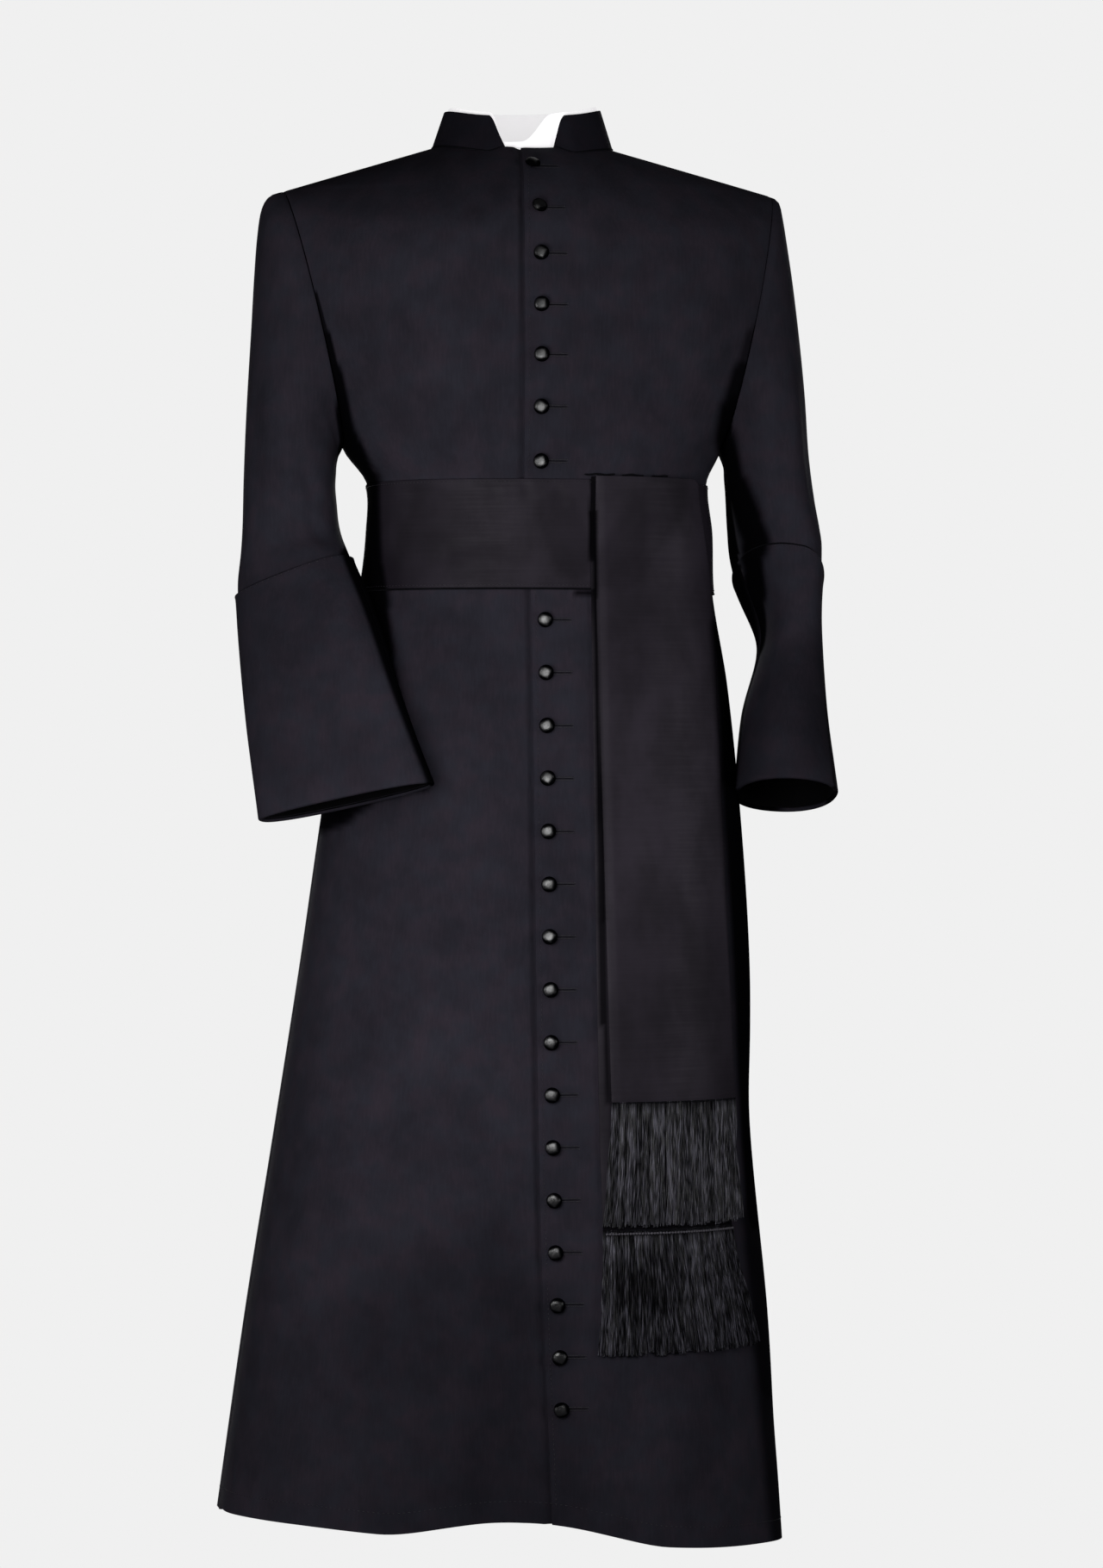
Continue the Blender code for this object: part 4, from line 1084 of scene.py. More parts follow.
@dataclass
class Piece:
    """A finished piece: how it is named, dressed and stood in for."""
    name: str
    material: Material
    slot: str
    replaces: tuple[str, ...] = ()
    lining: Material | None = None

    def add(self, bm: BMesh) -> Object:
        """Turns a bmesh into the piece's object, which rides on the body."""
        mesh = mesh_of(self.name, bm)
        mesh.materials.append(self.material)
        if self.lining:
            mesh.materials.append(self.lining)
        mesh.shade_smooth()
        piece = linked(self.name, mesh)
        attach(piece, BODY)
        if self.replaces:
            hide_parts(*self.replaces)
        LOG.info("%s: %d faces", self.name, len(mesh.polygons))
        return piece


@dataclass
class Shell:
    """A thin shell of cloth, mapped from a fine grid."""
    piece: Piece
    wall: float
    rows: int
    columns: int
    closed: bool = False
    with_pieces: tuple[Object, ...] = ()
    edge_share: float = 0.3
    edge_angle: float = 55

    def build(self, spots: Callable[[Array, Array], Array], shade: PaintedShade | None = None,
              held: str = "hung", rests_on: Sequence[str] = ()) -> Object:
        """Maps the grid and thickens it.

        Args:
            spots: points for shares across and down, each from 0 to 1.
            shade: the painted shade of each place, from its shares and its point.
            held: how the sheet is held; not used.
            rests_on: what it lies on or hangs from; not used.
        Returns:
            The shell's object.
        """
        bm = bmesh.new()
        bm.loops.layers.uv.new("cloth")
        bmesh.ops.create_grid(bm, x_segments=self.columns, y_segments=self.rows, size=0.5,
                              calc_uvs=False)
        bm.verts.ensure_lookup_table()
        flat = np.array([v.co for v in bm.verts])
        wide, long = self.columns + 1, self.rows + 1
        order = np.lexsort((flat[:, 0].round(6), -flat[:, 1].round(6)))
        share_across = (flat[order, 0] + 0.5).reshape(long, wide)
        share_down = (0.5 - flat[order, 1]).reshape(long, wide)
        points = spots(share_across, share_down)
        across = np.zeros((long, wide))
        down = np.zeros((long, wide))
        across[:, 1:] = np.cumsum(steps_between(points, 1), axis=1)
        down[1:] = np.cumsum(steps_between(points, 0), axis=0)
        # Painted shade of each vertex, which the materials mix towards black.
        dark = bm.verts.layers.float.new("shade")
        depth = np.zeros((long, wide))
        if shade:
            depth = shade(share_across, share_down, points)
        bm.verts.ensure_lookup_table()
        for index, at, deep in zip(order, points.reshape(-1, 3), depth.ravel()):
            bm.verts[index].co = at
            bm.verts[index][dark] = float(deep)
        self.lay_out(bm, order, across, down)
        if self.closed:
            bmesh.ops.remove_doubles(bm, verts=bm.verts, dist=MERGE)
        self.face_outwards(bm, points)
        shell = self.piece.add(bm)
        self.thicken(shell)
        width, length, area = float(across[:, -1].max()), float(down[-1].max()), self.area(points)
        list(self.with_pieces)
        LOG.info("%s: flat %.3f x %.3f m, area %.4f m2", self.piece.name, width, length, area)
        return shell

    def thicken(self, shell: Object) -> None:
        """Gives the shell its wall, inwards, and softens its edges."""
        thick = shell.modifiers.new("wall", "SOLIDIFY")
        thick.thickness = self.wall
        thick.offset = -1.0
        thick.use_even_offset = False
        thick.material_offset = 1 if self.piece.lining else 0
        soft = shell.modifiers.new("edges", "BEVEL")
        soft.width = self.wall * self.edge_share
        soft.segments = 2
        soft.limit_method = "ANGLE"
        soft.angle_limit = radians(self.edge_angle)

    def area(self, points: Array) -> float:
        """Area of the mapped grid."""
        a = points[1:, 1:] - points[:-1, :-1]
        b = points[1:, :-1] - points[:-1, 1:]
        return float(np.linalg.norm(np.cross(a, b), axis=2).sum() / 2)

    def lay_out(self, bm: BMesh, order: Array, across: Array, down: Array) -> None:
        """Writes the distances across and down the cloth as its UV map."""
        layer = bm.loops.layers.uv["cloth"]
        flat = np.empty((len(order), 2))
        flat[order, 0] = across.ravel()
        flat[order, 1] = down.ravel()
        for face in bm.faces:
            for loop in face.loops:
                loop[layer].uv = flat[loop.vert.index]

    def face_outwards(self, bm: BMesh, points: Array) -> None:
        """Turns the faces so that they point outwards."""
        bm.normal_update()
        middle = Vector((0, 0, points[..., 2].mean()))
        if self.closed:
            middle = Vector(points.reshape(-1, 3).mean(axis=0))
        vote = sum(((f.calc_center_median() - middle) * Vector((1, 1, 0))).dot(f.normal) * f.calc_area()
                   for f in bm.faces)
        if vote < 0:
            bmesh.ops.reverse_faces(bm, faces=bm.faces)


# ---- The panels ----
WALL = 0.0020
SEAM_GAP = 0.0003
FACE_GAP = 0.0006
# Painted shadow in the gap beside the overlapping edge: depth below the neck opening, and darkness.
GAP_PAINTED_SHADOW = ((0.02, 0.05), (0.06, 0.45), (0.17, 0.40), (0.22, 0.14), (0.46, 0.22), (1.45, 0.42))


@dataclass
class Panel:
    """One of the body's four panels, from the neck and shoulder seams down to the hem."""
    word: str
    face: Face
    side: Side
    cloth: Material
    lining: Material
    columns: int
    rows: int
    underlap: float
    strip_columns: int = 16
    crowding: float = 0.8
    least_span: float = 0.15
    chest_share: float = 0.2
    chest_power: float = 1.7
    hem_power: float = 1.25
    neck_share: float = 5 / 11
    step_width: float = 0.008
    roll: float = 0.0006
    roll_width: float = 0.0020
    armhole_roll: float = 0.0003
    strip_share: float = 0.16
    # Where the painted shadow lies across the underlap strip and how wide it is, and where and over
    # what distance the painted shade fades towards the back.
    gap_place: float = 0.88
    gap_over: float = 0.10
    fade_to: float = 0.055
    fade_over: float = 0.070

    def inner_edge(self, z: Array) -> Array:
        """x of the panel's inner edge: the back seam or the buttoned edge."""
        if self.face == Face.BACK:
            return CLOTH.centre(z)
        if self.side == Side.LEFT:
            return CLOTH.edge_x(z)
        return CLOTH.edge_x(z) - self.step_width - SEAM_GAP

    def spread_x(self, s: Array, z: Array) -> Array:
        """x at a share of the way round from the inner edge to the side seam."""
        return CLOTH.section_x(z, self.angle(s, z))

    def angle(self, s: Array, z: Array) -> Array:
        """Angle on the section at that share."""
        seam_angle = 0.0 if self.side == Side.LEFT else pi
        start = CLOTH.section_angle(self.inner_edge(z), z)
        return start + (seam_angle - start) * s

    def chest_fall(self, v: Array) -> Array:
        """How far down the part above the underarm a share down the panel lies."""
        return np.clip(v / self.chest_share, 0, 1) ** self.chest_power

    def crowded(self, t: Array) -> Array:
        """Shares across, crowded at both edges."""
        return t - self.crowding * np.sin(TURN * t) / TURN

    def spot(self, s: Array, v: Array) -> tuple[Array, Array]:
        """x and z of a place on the panel.

        Args:
            s: share across, 0 at the inner edge and 1 at the side.
            v: share down, of which the first part lies above the underarm.
        Returns:
            x and z of each.
        """
        start = float(self.inner_edge(np.array(0.0)))
        reach = SHOULDERS[self.side].reach
        half = CLOTH.neck_half
        neck_run = np.sin(pi / 2 * np.clip(s / self.neck_share, 0, 1))
        along_neck = start + (self.side * half - start) * neck_run
        along_shoulder = self.side * (half + (reach - half) * np.clip(
            (s - self.neck_share) / (1 - self.neck_share), 0, 1))
        on_neck = s <= self.neck_share
        x_top = np.where(on_neck, along_neck, along_shoulder)
        z_top = np.where(on_neck, CLOTH.neck_z(self.face, along_neck), CLOTH.shoulder_z(along_shoulder))
        underarm_z = CLOTH.underarm_z
        fall = self.chest_fall(v)
        chest_z = z_top + (underarm_z - z_top) * fall
        low = same(underarm_z, s)
        inner_low = float(self.inner_edge(np.array(underarm_z)))
        drift = self.inner_edge(chest_z) - (start + (inner_low - start) * fall)
        follow = np.clip(1 - s / self.neck_share, 0, None) * (1 - fall) + (1 - s) * fall
        chest_x = x_top + (self.spread_x(s, low) - x_top) * fall + follow * drift
        below = np.clip((v - self.chest_share) / (1 - self.chest_share), 0, 1)
        below = 1 - (1 - below) ** self.hem_power
        drop = CLOTH.hem_drop(self.face, self.angle(s, same(CLOTH.hem_z, s)))
        skirt_z = underarm_z + (CLOTH.hem_z - underarm_z) * below + drop * below ** 2
        skirt_x = self.spread_x(s, skirt_z)
        above = v <= self.chest_share
        return np.where(above, chest_x, skirt_x), np.where(above, chest_z, skirt_z)

    def points(self, u: Array, v: Array) -> Array:
        """Points of the panel's outer side."""
        if not self.underlap:
            return self.shaped(self.crowded(u), v)
        t = np.clip((u - self.strip_share) / (1 - self.strip_share), 0, 1)
        panel = self.shaped(self.crowded(t), v)
        q = np.clip(1 - u / self.strip_share, 0, 1)
        return np.where((q > 0)[..., None], self.strip(q, v), panel)

    def shaped(self, s: Array, v: Array) -> Array:
        """The panel itself, rolled under a little at its seams."""
        x, z = self.spot(s, v)
        span = np.abs(self.spread_x(np.ones_like(s), z) - self.inner_edge(z))
        to_edge = np.minimum(s, 1 - s) * np.maximum(span, self.least_span)
        depth = np.where((s > 0.5) & (z > CLOTH.underarm_z - 0.01), self.armhole_roll, self.roll)
        roll = -depth * bell(to_edge / self.roll_width)
        if self.face == Face.FRONT and self.side == Side.RIGHT:
            roll = np.where(s < 0.5, 0.0, roll)
        point = CLOTH.dressed(self.face, x, z, roll)
        point[..., 1] += self.face * SEAM_GAP / 2
        if self.face == Face.BACK:
            point[..., 0] += self.side * SEAM_GAP / 2 * (s < 0.02)
        return point

    def strip(self, q: Array, v: Array) -> Array:
        """The strip that reaches under the other front: q is 0 at the panel and 1 at its far edge."""
        x0, z0 = self.spot(np.zeros_like(q), v)
        dip = self.step_width
        x = x0 + q * (self.underlap + dip)
        top = CLOTH.neck_z(Face.FRONT, x)
        chest_z = top + (CLOTH.underarm_z - top) * self.chest_fall(v)
        z = np.where(v < self.chest_share, chest_z, z0)
        below = (WALL + FACE_GAP) * ease(q * (self.underlap + dip) / (dip - SEAM_GAP))
        point = CLOTH.dressed(Face.FRONT, x, z, -below)
        point[..., 1] -= SEAM_GAP / 2
        return point

    def dark(self, u: Array, v: Array, points: Array) -> Array:
        """The painted shade at each place: in folds and shadows, fading towards the back, and painted
        shadow in the gap beside the overlapping edge.
        """
        x, y, z = points[..., 0], points[..., 1], points[..., 2]
        dark = shading(FRONT_SHADES, x, z) * ease((self.fade_to - y) / self.fade_over)
        if not self.underlap:
            return dark
        deep = np.interp(-z, *zip(*GAP_PAINTED_SHADOW))
        off = np.abs(u / self.strip_share - self.gap_place) / self.gap_over
        return np.maximum(dark, deep * ease(1.0 - off))

    def build(self) -> Object:
        """Makes the panel."""
        piece = Piece(f"cloth_{self.word}", self.cloth, "black_cloth", (self.word,), self.lining)
        columns = self.columns + (self.strip_columns if self.underlap else 0)
        shell = Shell(piece, WALL, self.rows, columns)
        return shell.build(self.points, self.dark, rests_on=("cloth_collar",))


# ---- Sleeves and cuffs ----
SLEEVE_CREASES = {
    Side.RIGHT: creases(
        (0.3, 0.08, 0.395, 0.23, 0.013, 0.0022), (0.33, 0.15, 0.41, 0.29, 0.01, 0.0016),
        (0.255, 0.06, 0.3, 0.26, 0.016, 0.0018), (0.29, 0.3, 0.4, 0.37, 0.011, 0.0022),
        (0.27, 0.37, 0.395, 0.4, 0.01, 0.0022), (0.26, 0.44, 0.39, 0.425, 0.009, 0.0018),
        (0.06, 0.12, 0.13, 0.33, 0.016, 0.0022), (0.11, 0.36, 0.215, 0.41, 0.012, 0.002),
        (0.03, 0.28, 0.09, 0.4, 0.014, 0.0018)),
    Side.LEFT: creases(
        (0.3, 0.09, 0.385, 0.25, 0.013, 0.002), (0.265, 0.06, 0.31, 0.3, 0.016, 0.0018),
        (0.28, 0.33, 0.39, 0.37, 0.011, 0.002), (0.26, 0.41, 0.385, 0.4, 0.009, 0.0018),
        (0.06, 0.12, 0.13, 0.33, 0.016, 0.002), (0.11, 0.35, 0.215, 0.4, 0.012, 0.0018)),
}
# Bands of painted shade on each sleeve and cuff, by the girth round them and the distance down them.
SLEEVE_SHADES = {
    Side.RIGHT: shades(
        (0.374, 0.0, 0.418, 0.006, 0.011), (0.402, 0.0, 0.42, 0.095, 0.011),
        (0.0, 0.0, 0.0, 0.11, 0.012), (0.4215, 0.29, 0.4205, 0.54, 0.0185),
        (0.32, 0.34, 0.33, 0.44, 0.09, 0.15), (0.006, 0.28, 0.006, 0.54, 0.015)),
    Side.LEFT: shades(
        (0.386, 0.0, 0.406, 0.03, 0.011), (0.4, 0.02, 0.402, 0.16, 0.023),
        (0.399, 0.15, 0.387, 0.205, 0.0265), (0.387, 0.205, 0.382, 0.236, 0.024),
        (0.392, 0.24, 0.404, 0.285, 0.02), (0.408, 0.27, 0.42, 0.345, 0.015),
        (0.0, 0.0, 0.0, 0.15, 0.017), (0.02, 0.13, 0.04, 0.36, 0.042),
        (0.256, 0.285, 0.25, 0.5, 0.0085, 0.72), (0.42, 0.345, 0.42, 0.51, 0.006, 0.8),
        (0.0, 0.345, 0.0, 0.51, 0.006, 0.8), (0.295, 0.42, 0.39, 0.51, 0.065, 0.36),
        (0.03, 0.486, 0.09, 0.51, 0.024, 0.95), (0.2, 0.505, 0.23, 0.51, 0.012, 0.9)),
}


class CuffSeam(NamedTuple):
    """How a cuff's top edge lies: how far it sinks, how much it tilts, and where it is lowest."""
    sink: float
    swing: float
    lowest: float


CUFF_SEAMS = {Side.RIGHT: CuffSeam(sink=0.008, swing=0.007, lowest=0.72),
              Side.LEFT: CuffSeam(sink=0.010, swing=0.030, lowest=0.44)}
SEAM_STITCHES = {Side.RIGHT: (0.55, 0.95), Side.LEFT: (0.64, 0.85)}


@dataclass
class Sleeve:
    """A sleeve with its turned-back cuff."""
    word: str
    side: Side
    cloth: Material
    lining: Material
    columns: int = 112
    rows: int = 150
    cuff_rows: int = 64
    cuff_start: int = 10
    cuff_gap: float = 0.0005
    girth: float = 0.42
    step_down: float = 0.0015
    step_round: float = 0.004
    crease_fade_in: float = 0.05
    crease_fade_out: float = 0.03
    crease_margin: float = 0.004
    roll: float = 0.0003
    roll_width: float = 0.003
    curl: float = 0.0023
    flat_share: float = 0.86
    top_roll: float = 0.0007
    top_roll_width: float = 0.004
    ripple: float = 0.0008
    ripples_round: float = 21.0
    ripples_down: float = 20
    ripple_slant: float = 9.0
    ripple_start: float = 1.3

    def __post_init__(self) -> None:
        """Makes the smooth run of sections through the table."""
        side = self.side
        top, bottom = CLOTH.tip(side), CLOTH.underarm(side)
        out = unit(np.cross(top - bottom, (0, 1, 0)))
        out = out * np.sign(out[0]) * side * 2 * SEAM_GAP
        rings = [Ring(tuple(top + out), tuple(bottom + out), CLOTH.armhole_depth), *RINGS[side]]
        rows = np.array([[*r.outer, *r.inner, r.depth, r.turn, r.pitch, r.power] for r in rings])
        middles = (rows[:, 0:3] + rows[:, 3:6]) / 2
        self.along = np.concatenate([[0], np.cumsum(steps_between(middles, 0))])
        self.run = Curve(-self.along, rows)
        self.length = float(self.along[-1])

    def bare(self, u: Array, t: Array) -> Array:
        """Points of the sleeve's outer side, without creases.

        Args:
            u: share round the sleeve, from the seam below it through its back.
            t: distance down its middle, in metres.
        Returns:
            A point for each.
        """
        rows = self.run(-t)
        outer, inner = rows[..., 0:3], rows[..., 3:6]
        depth, turn, pitch, power = (rows[..., i] for i in (6, 7, 8, 9))
        half = (outer - inner) / 2
        plan = unit(half * (1, 1, 0))
        forward = np.stack([plan[..., 1], -plan[..., 0]], -1) * self.side
        turn = np.radians(turn) * self.side
        front = np.stack([
            (forward[..., 0] * np.cos(turn) - forward[..., 1] * np.sin(turn)) * depth,
            (forward[..., 0] * np.sin(turn) + forward[..., 1] * np.cos(turn)) * depth,
            pitch], -1)
        angle = pi + TURN * u
        share = 2 / power
        return ((outer + inner) / 2 + half * signed_power(np.cos(angle), share)[..., None]
                + front * signed_power(np.sin(angle), share)[..., None])

    def lifted(self, u: Array, t: Array, lift: Array | float) -> Array:
        """Points at a lift above the bare sleeve, past its end too."""
        end = self.length
        inside = np.clip(t, 0, end)
        here = self.bare(u, inside)
        low, high = (np.clip(inside + step, 0, end) for step in (-self.step_down, self.step_down))
        down = unit(self.bare(u, high) - self.bare(u, low))
        around = self.bare(u + self.step_round, inside) - self.bare(u - self.step_round, inside)
        normal = unit(np.cross(around, down)) * self.side
        lift = np.broadcast_to(np.asarray(lift, float), np.shape(u))
        return here + normal * lift[..., None] + down * np.asarray(t - inside)[..., None]

    def creasing(self, u: Array, t: Array) -> Array:
        """The sleeve's creases, none at the armhole and none under the cuff."""
        above_cuff = (self.start(u) - self.crease_margin - t) / self.crease_fade_out
        fade = ease(t / self.crease_fade_in) * ease(above_cuff)
        return relief(SLEEVE_CREASES[self.side], u * self.girth, t) * fade

    def start(self, u: Array) -> Array:
        """Distance down the sleeve at which the cuff starts, at each share round it."""
        seam = CUFF_SEAMS[self.side]
        tilt = seam.swing * np.cos(TURN * (u - seam.lowest))
        return self.along[self.cuff_start] + seam.sink + tilt

    def sleeve_points(self, u: Array, v: Array) -> Array:
        """Points of the sleeve itself."""
        t = v * self.length
        roll = -self.roll * bell(t / self.roll_width)
        return self.lifted(u, t, self.creasing(u, t) + roll)

    def cuff_run(self, u: Array, v: Array) -> Array:
        """Distance down the sleeve of each place on the cuff, before it turns in."""
        end = self.length + 2 * WALL - self.curl
        return self.start(u) + (end - self.start(u)) * np.clip(v / self.flat_share, 0, 1)

    def cuff_points(self, u: Array, v: Array) -> Array:
        """Points of the cuff, whose mouth turns inwards."""
        t = self.cuff_run(u, v)
        past = t - self.start(u)
        angle = pi * np.clip((v - self.flat_share) / (1 - self.flat_share), 0, 1)
        waves = (np.sin(u * self.ripples_round + self.ripple_start)
                 * np.sin(past * self.ripples_down + u * self.ripple_slant))
        ripple = self.ripple * waves * ease(v / 0.1) * ease((1 - v) / 0.3)
        top = self.top_roll * bell(past / self.top_roll_width)
        lift = self.cuff_gap + WALL + ripple + top
        lift = lift - self.curl * (1 - np.cos(angle))
        return self.lifted(u, t + self.curl * np.sin(angle), lift)

    def sleeve_dark(self, u: Array, v: Array, points: Array) -> Array:
        """The painted shade on the sleeve."""
        return shading(SLEEVE_SHADES[self.side], u * self.girth, v * self.length)

    def cuff_dark(self, u: Array, v: Array, points: Array) -> Array:
        """The painted shade on the cuff."""
        return shading(SLEEVE_SHADES[self.side], u * self.girth, self.cuff_run(u, v))

    def ring(self, past: float, share: Array, lift: float) -> Array:
        """Points of a ring round the sleeve, past the cuff's start."""
        return self.lifted(share, self.start(share) + past, lift)

    def build(self) -> None:
        """Makes the sleeve and its cuff."""
        inside = self.lining if self.side == Side.RIGHT else None
        parts = (
            ("sleeve", self.rows, self.lining, self.sleeve_points, self.sleeve_dark, "hung", "front"),
            ("cuff", self.cuff_rows, inside, self.cuff_points, self.cuff_dark, "folded", "sleeve"))
        for part, rows, lining, points, dark, held, under in parts:
            node = f"{part}_{self.word}"
            piece = Piece(f"cloth_{node}", self.cloth, "black_cloth", (node,), lining)
            Shell(piece, WALL, rows, self.columns, closed=True).build(
                points, dark, held=held, rests_on=(f"cloth_{under}_{self.word}",))


# ---- Collar and neckband ----
@dataclass
class Neck:
    """The standing collar and the white band inside it."""
    cloth: Material
    linen: Material
    gap: float = 0.0001
    lean: float = 0.013
    throat_z: float = 0.028
    rise: float = 0.0125
    tilt: float = 0.002
    corner: float = 0.003
    corner_power: float = 12
    seam_up: float = 0.03
    left_foot: float = 0.024
    left_lean: float = 0.0085
    right_foot: float = 0.026
    right_lean: float = 0.013
    band_gap: float = 0.0016
    band_wall: float = 0.0012
    band_stand: float = 0.0035
    band_lift: float = 0.003
    band_lift_from: float = 0.90
    band_lift_over: float = 0.08
    band_dip: float = 0.030
    dip_from: float = -0.050
    dip_over: float = 0.022
    dip_to: float = 0.030
    dip_back: float = 0.040

    def foot(self, angle: Array, inset: Array | float) -> Array:
        """Points of the neck's tube: angle 0 is the front, and inset brings them inwards."""
        x = CLOTH.neck_half * np.sin(angle)
        found = []
        for face, depth in ((Face.FRONT, CLOTH.neck_front), (Face.BACK, CLOTH.neck_back)):
            seam = CLOTH.point(face, x, CLOTH.neck_z(face, x))
            share = 1 - inset / depth
            x_share = 1 - inset / CLOTH.neck_half
            found.append(np.stack([seam[..., 0] * x_share, seam[..., 1] * share, seam[..., 2]], -1))
        return np.where((np.cos(angle) > 0)[..., None], found[0], found[1])

    def top_z(self, angle: Array) -> Array:
        """Height of the collar's top edge."""
        rise = self.rise * np.where(np.cos(angle) > 0, np.abs(np.sin(angle)) ** 3, 1.0)
        return self.throat_z + rise + self.tilt * np.sin(angle)

    def spot(self, angle: Array, v: Array, inset: float) -> Array:
        """Points on the collar, v of the way up, set in by inset."""
        base, top = self.foot(angle, inset), self.foot(angle, self.lean + inset)
        point = base + (top - base) * v[..., None]
        low = base[..., 2] + self.gap
        point[..., 2] = low + (self.top_z(angle) - low) * v
        return point

    def end(self, foot: float, lean: float, v: Array) -> Array:
        """Angle of the collar's end, v of the way up."""
        x = foot + lean * v + self.corner * v ** self.corner_power
        return np.arcsin(x / (CLOTH.neck_half - self.lean * v))

    def round_collar(self, u: Array, up: Array) -> Array:
        """Angles on the collar, from its one end to its other, at each share of the way up."""
        first = self.end(self.left_foot, self.left_lean, up)
        last = TURN - self.end(self.right_foot, self.right_lean, up)
        return first + (last - first) * u

    def collar_points(self, u: Array, v: Array) -> Array:
        """Points of the collar's outer side."""
        return self.spot(self.round_collar(u, 1 - v), 1 - v, 0.0)

    def collar(self) -> None:
        """Makes the collar, open at the throat with rounded corners."""
        piece = Piece("cloth_collar", self.cloth, "black_cloth", ("collar",))
        Shell(piece, WALL, 24, 150).build(self.collar_points, held="folded", rests_on=("cloth_band",))

    def foot_line(self, share: Array, lift: float) -> Array:
        """Points along the collar's foot."""
        up = same(self.seam_up, share)
        return self.spot(self.round_collar(share, up), up, -lift)

    def band_top(self, angle: Array) -> Array:
        """The white band's top edge, which dips at the throat."""
        x = CLOTH.neck_half * np.where(np.cos(angle) > 0, np.sin(angle), 1.0)
        dip = ease((x - self.dip_from) / self.dip_over) * ease((self.dip_to - x) / self.dip_back)
        return self.top_z(angle) + self.band_stand - self.band_dip * dip

    def band_points(self, u: Array, v: Array) -> Array:
        """Points of the band's outer side."""
        inset = WALL + self.band_gap
        angle = pi + TURN * u
        low = self.spot(angle, np.zeros_like(u), inset + FACE_GAP)[..., 2]
        at_side = (np.abs(np.sin(angle)) - self.band_lift_from) / self.band_lift_over
        low = low + self.band_lift * ease(at_side)
        height = low + (self.band_top(angle) - low) * (1 - v)
        full = np.clip((height - low) / (self.top_z(angle) - low), 0, None)
        point = self.spot(angle, full, inset)
        point[..., 2] = height
        return point

    def band(self) -> None:
        """Makes the white band."""
        piece = Piece("cloth_band", self.linen, "white_linen", ("neckband",))
        Shell(piece, self.band_wall, 20, 180, closed=True).build(
            self.band_points, held="folded", rests_on=("cloth_collar",))


# ---- Sash and streamers ----
SASH_CREASES = creases(
    (-0.165, -0.368, -0.06, -0.392, 0.009, 0.0007), (-0.12, -0.442, 0.01, -0.424, 0.009, 0.0007),
    (-0.05, -0.35, -0.044, -0.385, 0.005, 0.0007), (-0.018, -0.348, -0.012, -0.378, 0.005, 0.0007),
    (0.012, -0.35, 0.024, -0.388, 0.006, 0.0008), (0.1, -0.352, 0.08, -0.452, 0.012, 0.0009),
    (0.15, -0.358, 0.098, -0.45, 0.012, 0.0009), (0.128, -0.362, 0.09, -0.4, 0.007, 0.0006))
STREAMER_CREASES = creases(
    (0.16, -0.47, 0.085, -0.6, 0.016, 0.0012), (0.18, -0.52, 0.11, -0.7, 0.018, 0.0012),
    (0.09, -0.64, 0.086, -0.92, 0.016, 0.001), (0.165, -0.7, 0.15, -0.96, 0.018, 0.0012),
    (0.12, -0.76, 0.126, -0.98, 0.014, 0.0008))
# Soft patches of painted shade on the streamers and the sash.
STREAMER_PAINTED_SHADE = shades(
    (0.135, -0.365, 0.085, -0.44, 0.03, 0.3), (0.105, -0.43, 0.095, -0.54, 0.036, 0.2),
    (0.13, -0.88, 0.13, -1.05, 0.1, 0.2))
SASH_PAINTED_SHADE = shades(
    (0.02, -0.385, 0.038, -0.43, 0.026, 0.36), (-0.125, -0.4, -0.1, -0.45, 0.034, 0.3))


